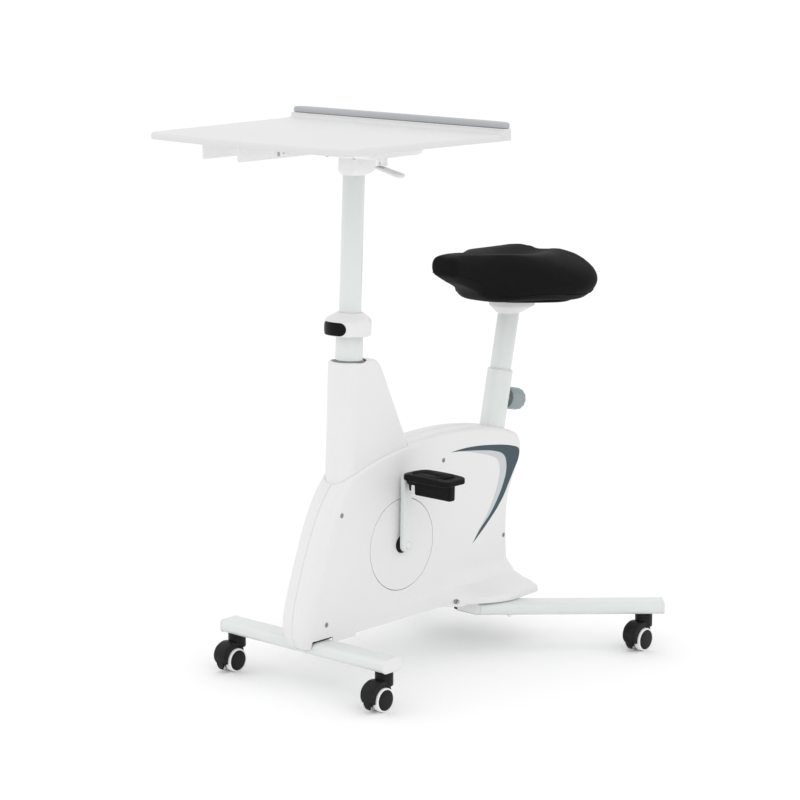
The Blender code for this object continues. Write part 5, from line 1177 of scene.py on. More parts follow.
def build_housing():
    """Both shells and the column sleeve; gives back the left shell."""
    seat_hole = lathe([(0.0, 0.44), (0.0311, 0.44), (0.0311, 0.70), (0.0, 0.70)], 72)
    cutters = [floor_cutter(), side_drill(COVER_RADIUS + 0.0012, 0.0, CRANK_Y, CRANK_Z, 128, 0.0006),
               column_skin(0.0006, True), moved(seat_hole, SEAT_AXIS)]
    cutters += [side_drill(SCREW_HOLE_RADIUS, 0.03, y, z, 32, 0.0004) for y, z in SCREWS]
    half = carved(eased_seam(walled(housing_skin())), cutters)
    piece("housing_shell_right", mirror_x(half), WHITE_ABS, "base", ["housing_right"], TO_ROW, 28.0)
    shell = piece("housing_shell_left", half, WHITE_ABS, "base", ["housing_left"], TO_ROW, 28.0)

    column = walled(column_skin(0.0, False))
    mouth = lathe([(0.0, 0.60), (0.0395, 0.60), (0.0395, 0.7338), (0.0402, 0.7352), (0.0402, 0.80),
                   (0.0, 0.80)], 72)
    piece("column_sleeve", carved(column, [moved(mouth, POST_AXIS)]), WHITE_ABS, "base", ["column_cover"],
          TO_ROW, 30.0)
    # A thin dark grey ring round the post at the column's mouth paints the shadow in the gap between post and
    # cover.
    gap_shade_ring = lathe([(0.0313, 0.7385), (0.0330, 0.7372), (0.0365, 0.7352), (0.0388, 0.7338), (0.0391, 0.7326),
                    (0.0391, 0.7290), (0.0313, 0.7290)], 72, closed=True)
    piece("post_gap_shade_ring", gap_shade_ring, GAP_SHADE_GREY, "base", (), TO_ROW @ POST_AXIS)
    return shell


def build_side_fittings():
    """The round crank cover with its seal, the black strip over the front bar that paints the shade in the
    housing's notch, and the screws, on each side.
    """
    face = HALF_WIDTH
    back = HALF_WIDTH - WALL
    inner = 0.0206
    cover = [(COVER_RADIUS - 0.0006, face), (COVER_RADIUS - 0.0002, face - 0.0003),
             (COVER_RADIUS, face - 0.0009), (COVER_RADIUS, back), (inner, back), (inner, face - 0.0004),
             (inner + 0.0004, face)]
    proud = HALF_WIDTH + 0.005
    seal = [(0.0093, back - 0.002), (0.0093, proud - 0.0012), (0.0101, proud - 0.0004), (0.0165, proud),
            (0.0182, proud - 0.0003), (0.0194, proud - 0.0012), (0.0200, proud - 0.0026),
            (0.0200, back - 0.002)]
    bar_top = BAR_UNDERSIDE + BAR_HEIGHT + TOUCH
    shade_pad_end = HALF_WIDTH + skirt_spread(0.0, bar_top) - WALL - 0.0008
    crank = TO_ROW @ by(0.0, CRANK_Y, CRANK_Z)
    for side, hand in HANDS:
        disc = moved(lathe(cover, 128, closed=True), SIDE_VIEW)
        ring = moved(lathe(seal, 72, closed=True), SIDE_VIEW)
        if side == -1:
            disc, ring = mirror_x(disc), mirror_x(ring)
        piece("crank_disc_" + hand, disc, WHITE_ABS, "base", ["crank_cover_" + hand], crank)
        piece("crank_gland_" + hand, ring, BLACK_RUBBER, "base", ["crank_seal_" + hand], crank)
        # A black rubber strip on the bar inside the housing's notch paints the shadow in the notch.
        pad = prism(rounded_box(BAR_DEPTH + 0.0036, 0.0038, 0.0010, 3, (0.0, bar_top + 0.0019)), NOTCH_SHADE_PAD_LENGTH)
        moved(pad, by(side * (shade_pad_end - NOTCH_SHADE_PAD_LENGTH / 2), 0.0, 0.0) @ SIDE_VIEW)
        piece("front_bar_shade_pad_" + hand, pad, BLACK_RUBBER, "base")
        facing = Matrix.Rotation(side * math.pi / 2, 4, "Y")
        for number, (y, z) in enumerate(SCREWS, 1):
            seat = by(side * (HALF_WIDTH + skirt_spread(y, z) - 0.0024), y, z) @ facing
            piece("housing_screw_%s_%d" % (hand, number), cross_screw(SCREW_HEAD_RADIUS, 0.0020), SCREW_GREY,
                  "base", (), TO_ROW @ seat)


def build_stripes(shell):
    """The two-tone sweep on each side of the housing, laid on the shell's own surface."""
    dark_outer = [(0.436, 0.4815), (0.470, 0.4835), (0.504, 0.4835), (0.545, 0.4810), (0.584, 0.4765),
                  (0.625, 0.4705), (0.660, 0.4630), (0.683, 0.4550), (0.6895, 0.4440), (0.687, 0.427),
                  (0.673, 0.408), (0.652, 0.377), (0.633, 0.348), (0.609, 0.321), (0.583, 0.298),
                  (0.553, 0.274), (0.516, 0.247)]
    dark_inner = [(0.516, 0.247), (0.541, 0.275), (0.562, 0.293), (0.584, 0.312), (0.610, 0.344),
                  (0.626, 0.370), (0.638, 0.397), (0.6405, 0.419), (0.636, 0.438), (0.625, 0.449),
                  (0.609, 0.4560), (0.580, 0.4635), (0.540, 0.4700), (0.500, 0.4755), (0.470, 0.4790),
                  (0.436, 0.4815)]
    light_inner = [(0.516, 0.247), (0.536, 0.273), (0.553, 0.291), (0.570, 0.311), (0.586, 0.333),
                   (0.605, 0.369), (0.6155, 0.403), (0.613, 0.427), (0.600, 0.4420), (0.575, 0.4525),
                   (0.548, 0.4605), (0.520, 0.4680), (0.500, 0.4730), (0.470, 0.4785)]
    dark = smooth_curve(dark_outer, 4)[:-1] + smooth_curve(dark_inner, 4)[:-1]
    light = smooth_curve(dark_inner[:-1], 4)[:-1] + smooth_curve(light_inner, 4)[::-1]
    for name, outline, finish, proud in (("sweep_dark", dark, STRIPE_DARK, 0.00022),
                                         ("sweep_pale", light, STRIPE_LIGHT, 0.00016)):
        bm = bmesh.new()
        _, edges = ring_of(bm, [(0.10, y, z) for y, z in outline])
        bmesh.ops.triangle_fill(bm, use_beauty=True, edges=edges)
        # A coarse grid all over, and a fine one where the shell curves away at the rear
        gridded(bm, 0.00002, (Y_AXIS, 0.42, 0.006, 48), (Z_AXIS, 0.24, 0.006, 42),
                (Y_AXIS, 0.6505, 0.0014, 28), (Z_AXIS, 0.3715, 0.0025, 36))
        bmesh.ops.remove_doubles(bm, verts=bm.verts, dist=0.00002)
        bmesh.ops.recalc_face_normals(bm, faces=bm.faces)
        if sum(face.normal.x for face in bm.faces) < 0.0:
            bmesh.ops.reverse_faces(bm, faces=bm.faces)
        bmesh.ops.translate(bm, vec=(0.0, FRONT_BAR_Y, 0.0), verts=bm.verts)
        sheet = as_object(bm, "sheet")
        wrap = sheet.modifiers.new("Lie on the shell", "SHRINKWRAP")
        wrap.target = shell
        wrap.wrap_method = "PROJECT"
        wrap.use_project_x, wrap.use_project_y, wrap.use_project_z = True, False, False
        wrap.use_negative_direction, wrap.use_positive_direction = True, False
        wrap.offset = proud
        film = sheet.modifiers.new("Film", "SOLIDIFY")
        film.thickness = 0.00012
        film.offset = -1.0
        bpy.context.view_layer.update()
        film_bm = frozen(sheet)
        piece(name + "_right", mirror_x(film_bm), finish, "base", (), Matrix.Identity(4))
        piece(name + "_left", film_bm, finish, "base", (), Matrix.Identity(4))


def crank_arm():
    """The left crank about the crank axle, arm up, tapering a little to the pedal end."""
    outline = arc((0.0, 0.0), 0.0165, 176.0, 364.0, 24) + arc((0.0, CRANK_LENGTH), 0.0130, -4.0, 184.0, 24)
    arm = rim_round(moved(prism(outline, 0.012), by(0.0585, 0.0, 0.0) @ SIDE_VIEW), 0.0022, 4, 60.0)
    bore = moved(lathe([(0.0, 0.04), (0.0088, 0.04), (0.0088, 0.08), (0.0, 0.08)], 48), SIDE_VIEW)
    cap = lathe([(0.0, 0.0620), (0.0084, 0.0620), (0.0084, 0.0640), (0.0078, 0.0652), (0.0, 0.0656)], 48)
    return carved(arm, [bore]), moved(cap, SIDE_VIEW)


def pedal_plan():
    """Plan of the tread from the crank outwards: a drawn-in inner end and round outer corners."""
    inner = PEDAL_INNER_X
    outer = inner + PEDAL_LENGTH
    half = PEDAL_DEPTH / 2
    side = [(inner, 0.0), (inner, 0.0125), (inner + 0.0022, 0.0195), (inner + 0.0085, 0.0300),
            (inner + 0.0165, 0.0358), (inner + 0.0300, half)]
    side += [(outer - 0.0300, half)] + arc((outer - 0.0170, half - 0.0170), 0.0170, 78.0, 6.0, 6)
    side += [(outer, 0.0)]
    rear = smooth_curve(side, 5)
    return rear + [(x, -y) for x, y in reversed(rear[1:-1])]


def pedal_tread():
    """The left pedal about its spindle: a crowned tread with a deep web and a grip of fine ribs."""
    outline = pedal_plan()
    centre_x = PEDAL_INNER_X + PEDAL_LENGTH / 2

    def ring(z, inset, crown):
        points = []
        for x, y in outline:
            shrink_x = 1.0 - inset / (PEDAL_LENGTH / 2)
            shrink_y = 1.0 - inset / (PEDAL_DEPTH / 2)
            along = (x - centre_x) / (PEDAL_LENGTH / 2)
            lift = crown * max(0.0, 1.0 - abs(along) ** 3) * PEDAL_CROWN
            points.append((centre_x + (x - centre_x) * shrink_x, y * shrink_y, z + lift))
        return points

    low = PEDAL_PLATE_Z
    high = PEDAL_PLATE_Z + PEDAL_PLATE
    plate = loft([ring(low, 0.0030, 0.0), ring(low + 0.0006, 0.0012, 0.0), ring(low + 0.0020, 0.0, 0.0),
                  ring(high - 0.0022, 0.0, 1.0), ring(high - 0.0008, 0.0007, 1.0), ring(high, 0.0024, 1.0),
                  ring(high + 0.0006, 0.0080, 1.05), ring(high + 0.0013, 0.0160, 1.1),
                  ring(high + 0.0018, 0.0250, 1.15)])
    web_low = -PEDAL_WEB_DROP
    start = PEDAL_WEB_INNER_X
    length = PEDAL_WEB_LENGTH
    web = []
    for z, grow, corner in ((web_low, -0.0030, 0.0035), (web_low + 0.0009, -0.0012, 0.0045),
                            (web_low + 0.0030, 0.0, 0.0055), (low - 0.0040, 0.0004, 0.0055),
                            (low + 0.0003, 0.0030, 0.0075), (low + 0.0030, 0.0050, 0.0080)):
        section = rounded_box(length + 2 * grow, PEDAL_WEB + 2 * grow, corner, 8, (start + length / 2, 0.0))
        web.append(raised(section, z))
    # A thin black fin under the tread's inner end stands in for the dark sliver of shadow there.
    fin = moved(prism([(-0.0052, low + 0.002), (-0.0052, low - 0.006), (-0.0012, -0.0235), (0.0004, -0.0250),
                       (0.0014, -0.0235), (0.0040, low - 0.006), (0.0040, low + 0.002)], 0.0036),
                by(PEDAL_INNER_X + 0.0020, 0.0, 0.0) @ SIDE_VIEW)
    hub = lathe([(0.0, PEDAL_INNER_X - 0.0010), (0.0094, PEDAL_INNER_X - 0.0010), (0.0104, PEDAL_INNER_X),
                 (0.0104, start + 0.004), (0.0, start + 0.004)], 40)
    moved(hub, SIDE_VIEW)
    body = carved(plate, [loft(web)], "UNION")
    body = carved(body, [rim_round(fin, 0.0006, 2, 50.0)], "UNION")
    body = carved(body, [hub], "UNION")
    ribs = []
    for i in range(13):
        y = RIB_PITCH * (i - 6)
        reach = PEDAL_LENGTH / 2 - 0.021 - max(0.0, abs(y) - 0.016) * 1.2
        rib = block(2 * reach, RIB_WIDTH, RIB_WIDTH)
        lengthways = [edge for edge in rib.edges if abs((edge.verts[0].co - edge.verts[1].co).x) > 0.01]
        bmesh.ops.subdivide_edges(rib, edges=lengthways, cuts=14, use_grid_fill=True)
        for vert in rib.verts:
            along = vert.co.x / (PEDAL_LENGTH / 2)
            across = min(1.0, abs(y) / (PEDAL_DEPTH / 2))
            crown = 0.0038 * max(0.0, 1.0 - abs(along) ** 3) + 0.0016 * (1.0 - across ** 2)
            vert.co.z += high + crown - 0.0003
        bmesh.ops.translate(rib, vec=(centre_x, y, 0.0), verts=rib.verts)
        ribs.append(rim_round(rib, 0.0003, 2, 60.0))
    return merged(body, *ribs)


def build_drive():
    crank_place = TO_ROW @ by(0.0, CRANK_Y, CRANK_Z)
    arm, cap = crank_arm()
    spindle_end = PEDAL_INNER_X + 0.05
    spindle = lathe([(0.0, 0.0560), (0.0060, 0.0560), (0.0060, 0.0655), (0.0088, 0.0655), (0.0088, 0.0668),
                     (0.0060, 0.0672), (0.0060, spindle_end), (0.0, spindle_end)], 40)
    moved(spindle, by(0.0, 0.0, CRANK_LENGTH) @ SIDE_VIEW)
    opposite = Matrix.Rotation(math.pi, 4, "Z") @ TURNED_OVER
    for hand, turn in (("left", Matrix.Identity(4)), ("right", opposite)):
        place = crank_place @ turn
        piece("crank_arm_" + hand, arm.copy(), WHITE_COAT, "crank", ["crank_" + hand], place)
        piece("crank_cap_" + hand, cap.copy(), WHITE_ABS, "crank", (), place)
        piece("pedal_spindle_" + hand, spindle.copy(), BRIGHT_STEEL, "crank", (), place)
    tread = pedal_tread()
    high = crank_place @ by(0.0, 0.0, CRANK_LENGTH)
    low = crank_place @ by(0.0, 0.0, -CRANK_LENGTH)
    piece("pedal_tread_right", mirror_x(tread), PEDAL_BLACK, "pedal_right",
          ["pedal_right"], low, 32.0)
    piece("pedal_tread_left", tread, PEDAL_BLACK, "pedal_left", ["pedal_left"], high, 32.0)


left_shell = build_housing()
build_side_fittings()
build_stripes(left_shell)
build_drive()


# Desk

SWELL_FRAMES = 20


def desk_outline(inset, steps=10):
    """Plan of the tabletop: widest at the hand rest, drawn in and bowed towards its far edge."""
    rear = DESK_REAR_Y - inset
    front = DESK_FRONT_Y + DESK_BOW + inset
    half = DESK_WIDTH / 2 - inset
    taper = math.atan2((DESK_WIDTH - DESK_FRONT_WIDTH) / 2, DESK_DEPTH - DESK_BOW)
    radius = DESK_CORNER - inset
    corner_y = front + radius
    corner_x = half - (rear - corner_y) * math.tan(taper) - radius / math.cos(taper)
    turn = math.atan(2 * DESK_BOW / corner_x)
    corner = arc((corner_x, corner_y), radius, math.degrees(turn) - 90.0, -math.degrees(taper), steps)
    reach, edge_y = corner[0]
    far = front - DESK_BOW
    right = [(reach * i / 16, far + (edge_y - front + DESK_BOW) * (i / 16) ** 2) for i in range(16)]
    radius = DESK_REAR_CORNER - inset
    rear_x = half - radius * math.tan(taper) - radius / math.cos(taper)
    right += corner + arc((rear_x, rear - radius), radius, -math.degrees(taper), 90.0, steps)
    return right + [(-x, y) for x, y in reversed(right[1:])]


def desk_board():
    """The tabletop: its upper edge eased all round, its lower edge crisp."""
    levels = [(0.0, 0.0007), (0.0003, 0.0002), (0.0009, 0.0), (DESK_THICKNESS - DESK_EASE, 0.0)]
    for i in range(1, 9):
        angle = math.radians(90.0 * i / 8)
        levels.append((DESK_THICKNESS - DESK_EASE + DESK_EASE * math.sin(angle),
                       DESK_EASE * (1.0 - math.cos(angle))))
    return loft([raised(desk_outline(inset), DESK_UNDERSIDE + z) for z, inset in levels])


def hand_ledge():
    """The raised rear ledge under the hand rest, coved into the board in front of it."""
    half = DESK_WIDTH / 2 - 0.0005
    low = DESK_TOP - DESK_EASE
    cove = 0.0085
    ease = 0.0016
    nearness = [0.0, 0.0004, 0.0010, 0.0018, 0.0030, 0.0045, 0.0062, 0.0080]
    ends = [-half + step for step in nearness]
    middle = [-half + 0.0080 + (2 * half - 0.0160) * i / 12 for i in range(1, 12)]
    rings = []
    for x in ends + middle + [-x for x in reversed(ends)]:
        gap = half - abs(x)
        pull = 0.0
        if gap < DESK_REAR_CORNER:
            pull = DESK_REAR_CORNER - math.sqrt(DESK_REAR_CORNER ** 2 - (DESK_REAR_CORNER - gap) ** 2)
        drop = ease - math.sqrt(ease ** 2 - max(0.0, ease - gap) ** 2)
        rear = DESK_REAR_Y - 0.0004 - pull
        front = DESK_REAR_Y - LEDGE_DEPTH + drop
        rear = max(rear, front + 2 * ease + 0.0005)
        top = DESK_TOP + LEDGE_HEIGHT - drop
        section = [(rear, low)] + arc((rear - ease, top - ease), ease, 0.0, 90.0, 4)
        section += arc((front + ease, top - ease), ease, 90.0, 180.0, 4)
        section += arc((front - cove, DESK_TOP + cove), cove, 0.0, -90.0, 10)
        section.append((front - cove, low))
        rings.append([(x, y, z) for y, z in section])
    return loft(rings)


def swelled(bm, voxel, pressure, cap, held_below):
    """A padded shape blown up by air under a cloth skin, its underside held where it rests."""
    obj = as_object(bm, "pad_core")
    remesh = obj.modifiers.new("Even skin", "REMESH")
    remesh.mode = "VOXEL"
    remesh.voxel_size = voxel
    bpy.context.view_layer.update()
    even = frozen(obj)
    rest = [vert.co.copy() for vert in even.verts]
    held = [i for i, co in enumerate(rest) if co.z < held_below]
    obj = as_object(even, "pad_skin")
    pinned = obj.vertex_groups.new(name="held")
    pinned.add(held, 1.0, "REPLACE")
    cloth = obj.modifiers.new("Skin", "CLOTH")
    cloth.settings.use_pressure = True
    cloth.settings.uniform_pressure_force = pressure
    cloth.settings.effector_weights.gravity = 0.0
    cloth.settings.vertex_group_mass = "held"
    cloth.point_cache.frame_start = 1
    cloth.point_cache.frame_end = SWELL_FRAMES
    for step in range(1, SWELL_FRAMES + 1):
        bpy.context.scene.frame_set(step)
    skin = frozen(obj)
    bpy.context.scene.frame_set(1)
    skin.verts.ensure_lookup_table()
    for vert, start in zip(skin.verts, rest):
        shift = vert.co - start
        if shift.length > cap:
            vert.co = start + shift * (cap / shift.length)
    for _ in range(2):
        loose = [vert for vert, start in zip(skin.verts, rest) if start.z >= held_below]
        bmesh.ops.smooth_vert(skin, verts=loose, factor=0.5, use_axis_x=True, use_axis_y=True,
                              use_axis_z=True)
    return skin


def subdivided(bm, levels=1):
    """The same skin with rounder faces."""
    obj = as_object(bm, "subdivided")
    soft = obj.modifiers.new("Soft", "SUBSURF")
    soft.levels = levels
    soft.render_levels = levels
    bpy.context.view_layer.update()
    return frozen(obj)


def hand_rest():
    """The foam hand rest: full on top, flat where it is glued to the ledge."""
    middle = (0.0, DESK_REAR_Y - LEDGE_DEPTH / 2 - 0.0004)
    low = DESK_TOP + LEDGE_HEIGHT + TOUCH
    slack = 0.0009
    width, depth = DESK_WIDTH - 0.002, LEDGE_DEPTH - 0.002
    rings = []
    for up, inset in ((0.0, 0.0014), (0.0010, 0.0006), (0.0024, 0.0), (PAD_HEIGHT * 0.60, 0.0),
                      (PAD_HEIGHT * 0.80, 0.0012), (PAD_HEIGHT * 0.93, 0.0034), (PAD_HEIGHT - slack, 0.0064)):
        less = 2 * (slack + inset)
        rings.append(raised(rounded_box(width - less, depth - less, 0.0095 - inset, 8, middle), low + up))
    pad = swelled(loft(rings), 0.0026, 3.0, 0.0016, low + 0.0014)
    highest = low + PAD_HEIGHT
    for vert in pad.verts:
        vert.co.z = min(max(vert.co.z, low), highest)
    return subdivided(pad)


def folded_section(path, sheet, bend, steps=6):
    """Outline of a folded sheet along its middle line, with round bends."""
    points = [Vector(point) for point in path]
    line = []
    for i, point in enumerate(points):
        into = (point - points[i - 1]).normalized() if i > 0 else (points[1] - point).normalized()
        out = (points[i + 1] - point).normalized() if i + 1 < len(points) else into
        normal = Vector((-into.y, into.x))
        turn = math.atan2(into.x * out.y - into.y * out.x, into.dot(out))
        if abs(turn) < 0.001:
            line.append((point, normal))
            continue
        side = 1.0 if turn > 0 else -1.0
        centre = point - into * (bend * math.tan(abs(turn) / 2)) + normal * (bend * side)
        for step in range(steps + 1):
            facing = Matrix.Rotation(turn * step / steps, 2) @ normal
            line.append((centre - facing * (bend * side), facing))
    near = [tuple(point + normal * (sheet / 2)) for point, normal in line]
    far = [tuple(point - normal * (sheet / 2)) for point, normal in line]
    return near + far[::-1]


def side_rounded(bm, low_y, high_y, low_z, high_z, front_round, rear_round):
    """Rounds the lower front and rear corners of a long shape, seen from the side."""
    outline = arc((high_y - rear_round, low_z + rear_round), rear_round, 0.0, -90.0, 8)
    outline += arc((low_y + front_round, low_z + front_round), front_round, -90.0, -180.0, 8)
    outline += [(low_y, high_z), (high_y, high_z)]
    return carved(bm, [moved(prism(outline, 0.5), SIDE_VIEW)], "INTERSECT")


def build_rails():
    """Two folded sheets screwed under the board: a deep channel and a shallow rail beside it."""
    length = RAIL_END_Y - CHANNEL_FRONT_Y
    middle = (RAIL_END_Y + CHANNEL_FRONT_Y) / 2
    web = CHANNEL_TOP - SHEET / 2
    deep = CHANNEL_TOP - CHANNEL_DEPTH
    shallow = CHANNEL_TOP - RAIL_DEPTH
    inner = SHEET / 2
    channel = folded_section([(CHANNEL_LEFT_X + inner, deep), (CHANNEL_LEFT_X + inner, web),
                              (CHANNEL_RIGHT_X - inner, web), (CHANNEL_RIGHT_X - inner, deep)], SHEET, 0.0030)
    rail = folded_section([(CHANNEL_RIGHT_X - 0.0002, web), (RAIL_X - inner, web), (RAIL_X - inner, shallow)],
                          SHEET, 0.0030)
    to_place = by(0.0, middle, 0.0) @ FRONT_VIEW
    over = CHANNEL_TOP + 0.01
    deep_sheet = moved(prism(channel, length), to_place)
    deep_sheet = side_rounded(deep_sheet, CHANNEL_FRONT_Y, RAIL_END_Y, deep, over, 0.0055, 0.0055)
    flange = by(RAIL_X - inner, 0.0, 0.0) @ SIDE_VIEW
    slots, slot_shades = [], []
    for y, width, height, z in ((-0.1370, 0.0080, 0.0130, shallow + 0.0094),
                                (-0.1215, 0.0048, 0.0080, shallow + 0.0112)):
        outline = rounded_box(width, height, width * 0.499, 8, (y, z))
        slots.append(moved(prism(outline, 0.012), flange))
        # Grey pads set into the slots paint the shade in the slots' depth.
        slot_shade = rounded_box(width - 2 * TOUCH, height - 2 * TOUCH, width * 0.499 - TOUCH, 8, (y, z))
        slot_shades.append(moved(prism(slot_shade, SHEET - 0.0006), flange))
    shallow_sheet = moved(prism(rail, length), to_place)
    shallow_sheet = side_rounded(shallow_sheet, CHANNEL_FRONT_Y, RAIL_END_Y, shallow, over, 0.005, 0.005)
    shallow_sheet = carved(shallow_sheet, slots)
    piece("rail_deep_channel", deep_sheet, WHITE_SHEET_SHADE_LIFT, "desk", ["slide_channel"], TO_ROW, 30.0)
    piece("rail_shallow_flange", shallow_sheet, WHITE_SHEET_SHADE_LIFT, "desk", (), TO_ROW, 30.0)
    piece("rail_slot_shade_pads", merged(*slot_shades), PAD_GREY, "desk")
    places = [(x, y) for x in (-0.1335, -0.030, 0.030) for y in (-0.120, 0.050, 0.262)]
    for number, (x, y) in enumerate(places, 1):
        place = by(x, y, CHANNEL_TOP - SHEET) @ TURNED_OVER
        piece("rail_screw_%d" % number, cross_screw(0.0048, 0.0024), SCREW_GREY, "desk", (), TO_ROW @ place)


def build_carriage():
    """The slide carriage: a pressed plate with a folded guide shoe along each side and the lever's boss."""
    depth = CARRIAGE_REAR_Y - CARRIAGE_FRONT_Y
    mid_y = (CARRIAGE_REAR_Y + CARRIAGE_FRONT_Y) / 2
    top = CHANNEL_TOP - SHEET - 0.0004
    left_face = CHANNEL_RIGHT_X - SHEET - 0.0004
    right_face = RAIL_X + 0.0004
    outline = [(CARRIAGE_FRONT_Y, top - 0.0030), (CARRIAGE_FRONT_Y + 0.003, top - 0.0030)]
    outline += arc((CARRIAGE_FRONT_Y + 0.0050, CARRIAGE_TOP + 0.0020), 0.0020, 180.0, 270.0, 5)
    outline += [(CARRIAGE_REAR_Y - 0.016, CARRIAGE_TOP), (CARRIAGE_REAR_Y - 0.016, CARRIAGE_BOTTOM)]
    outline += arc((CARRIAGE_FRONT_Y + 0.0050, CARRIAGE_BOTTOM + 0.0050), 0.0050, 270.0, 180.0, 6)
    plate = prism(outline, right_face - left_face)
    moved(plate, by((left_face + right_face) / 2, 0.0, 0.0) @ SIDE_VIEW)
    shoes = []
    for inner, outer in ((left_face, -CARRIAGE_HALF_WIDTH), (right_face, CARRIAGE_HALF_WIDTH)):
        span = abs(outer - inner)
        height = top - CARRIAGE_BOTTOM
        middle = ((inner + outer) / 2, top - height / 2)
        tube = prism(rounded_box(span, height, 0.0060, 8, middle), depth)
        moved(tube, by(0.0, mid_y, 0.0) @ FRONT_VIEW)
        shoes.append(side_rounded(tube, CARRIAGE_FRONT_Y, CARRIAGE_REAR_Y, CARRIAGE_BOTTOM, top + 0.01,
                                  0.010, 0.016))
    piece("carriage_plate", plate, WHITE_SHEET_SHADE_LIFT, "desk_post", ["carriage"], TO_ROW, 30.0)
    for shoe, hand in zip(shoes, ("right", "left")):
        piece("carriage_shoe_" + hand, shoe, WHITE_SHEET_SHADE_LIFT, "desk_post", (), TO_ROW, 30.0)
    pivot = lever_pivot()
    bottom = CARRIAGE_BOTTOM - LEVER_BOSS_DROP
    rings = []
    for z, grow in ((CARRIAGE_BOTTOM - 0.0002, 0.0016), (CARRIAGE_BOTTOM - 0.0010, 0.0006),
                    (CARRIAGE_BOTTOM - 0.0024, 0.0), (bottom + 0.0010, 0.0), (bottom + 0.0003, -0.0003),
                    (bottom, -0.0010)):
        outline = rounded_box(LEVER_BOSS_SIZE + 2 * grow, LEVER_BOSS_SIZE - 0.0044 + 2 * grow, 0.0022 + grow,
                              6, (LEVER_BOSS_X, pivot[1]))
        rings.append(raised(outline, z))
    hole = moved(lathe([(0.0, -0.02), (0.0029, -0.02), (0.0029, 0.02), (0.0, 0.02)], 32),
                 by(*pivot) @ FRONT_VIEW)
    pocket = moved(prism(rounded_box(0.0128, 0.030, 0.0020, 6, (0.0, -0.0100)), 0.0046),
                   by(*pivot) @ FRONT_VIEW)
    piece("lever_boss", carved(loft(rings), [hole, pocket]), WHITE_SHEET_SHADE_LIFT, "desk_post")
    for number, (x, y) in enumerate(((-0.040, 0.112), (0.040, 0.112), (-0.044, 0.240), (0.044, 0.240)), 1):
        place = by(x, y, CARRIAGE_BOTTOM) @ TURNED_OVER
        piece("carriage_bolt_%d" % number, socket_bolt(0.0055, 0.0030), SCREW_GREY, "desk_post", (),
              TO_ROW @ place)


def lever_pivot():
    return (LEVER_BOSS_X, POST_FOOT_Y + HEAD_BOTTOM * math.tan(POST_LEAN) + 0.006,
            CARRIAGE_BOTTOM - LEVER_BOSS_DROP + 0.006)


def build_lever():
    """The height lever: a drooping paddle whose tongue hangs on a bright pin inside the boss."""
    inner = -0.012
    tip = inner + LEVER_LENGTH
    low = -0.0170
    half = LEVER_WIDTH / 2
    plan = [(inner, -half + 0.004), (inner + 0.004, -half)]
    plan += arc((tip - half, 0.0), half, -90.0, 90.0, 20) + [(inner + 0.004, half), (inner, half - 0.004)]
    rings = []
    for z, inset in ((low, 0.0030), (low + 0.0005, 0.0014), (low + 0.0014, 0.0004), (low + 0.0026, 0.0),
                     (low + 0.0056, 0.0), (low + 0.0070, 0.0006), (low + 0.0078, 0.0018),
                     (low + 0.0081, 0.0034)):
        middle = (inner + tip) / 2
        share_x = 1.0 - inset / (LEVER_LENGTH / 2)
        share_y = 1.0 - inset / half
        rings.append([((x - middle) * share_x + middle, y * share_y, z) for x, y in plan])
    paddle = loft(rings)
    # The paddle is thickest over its pivot end and thins towards its tip.
    for vert in paddle.verts:
        along = (vert.co.x - inner) / LEVER_LENGTH
        if vert.co.z < low + 0.004:
            vert.co.z += 0.0030 * max(0.0, 1.0 - along / 0.35)
        vert.co.z -= 0.0008 * math.sin(math.pi * along)
    tongue = [(0.0042, low + 0.0070), (0.0042, 0.0)] + arc((0.0, 0.0), 0.0042, 0.0, 180.0, 16)
    tongue += [(-0.0042, low + 0.0070)]
    tongue = moved(prism(tongue, 0.0038), FRONT_VIEW)
    droop = TO_ROW @ by(*lever_pivot()) @ Matrix.Rotation(LEVER_DROOP, 4, "Y")
    piece("lever_paddle", carved(paddle, [tongue], "UNION"), WHITE_ABS, "height_lever", ["height_lever"],
          droop)
    reach = LEVER_BOSS_SIZE / 2 - 0.0019
    pin = lathe([(0.0, -reach), (0.0022, -reach), (0.0026, -reach + 0.0004), (0.0026, reach - 0.0004),
                 (0.0022, reach), (0.0, reach)], 32)
    piece("lever_pin", moved(pin, FRONT_VIEW), BRIGHT_STEEL, "height_lever", (), droop)


def build_desk():
    piece("desk_top", merged(desk_board(), hand_ledge()), DESK_WHITE, "desk", ["tabletop"], TO_ROW, 40.0)
    rest = piece("hand_rest", hand_rest(), PAD_GREY, "desk", ["wrist_pad"], TO_ROW, 60.0)
    build_rails()
    build_carriage()
    build_lever()


build_desk()


# Saddle

# Stations from nose to rear: place along the saddle, half width, underside, top, groove depth
SADDLE_STATIONS = ((0.013, 0.033, 0.892, 0.933, 0.000), (0.028, 0.040, 0.888, 0.937, 0.000),
                   (0.090, 0.045, 0.879, 0.936, 0.001), (0.180, 0.052, 0.865, 0.934, 0.004),
                   (0.265, 0.059, 0.847, 0.931, 0.008), (0.330, 0.076, 0.820, 0.929, 0.010),
                   (0.410, 0.103, 0.816, 0.928, 0.013), (0.500, 0.139, 0.818, 0.927, 0.018),
                   (0.620, 0.170, 0.817, 0.924, 0.024), (0.740, 0.188, 0.808, 0.923, 0.020),
                   (0.860, 0.186, 0.809, 0.922, 0.010), (0.955, 0.166, 0.816, 0.926, 0.005),
                   (1.000, 0.118, 0.836, 0.915, 0.003))
HEM_RADIUS = 0.0013


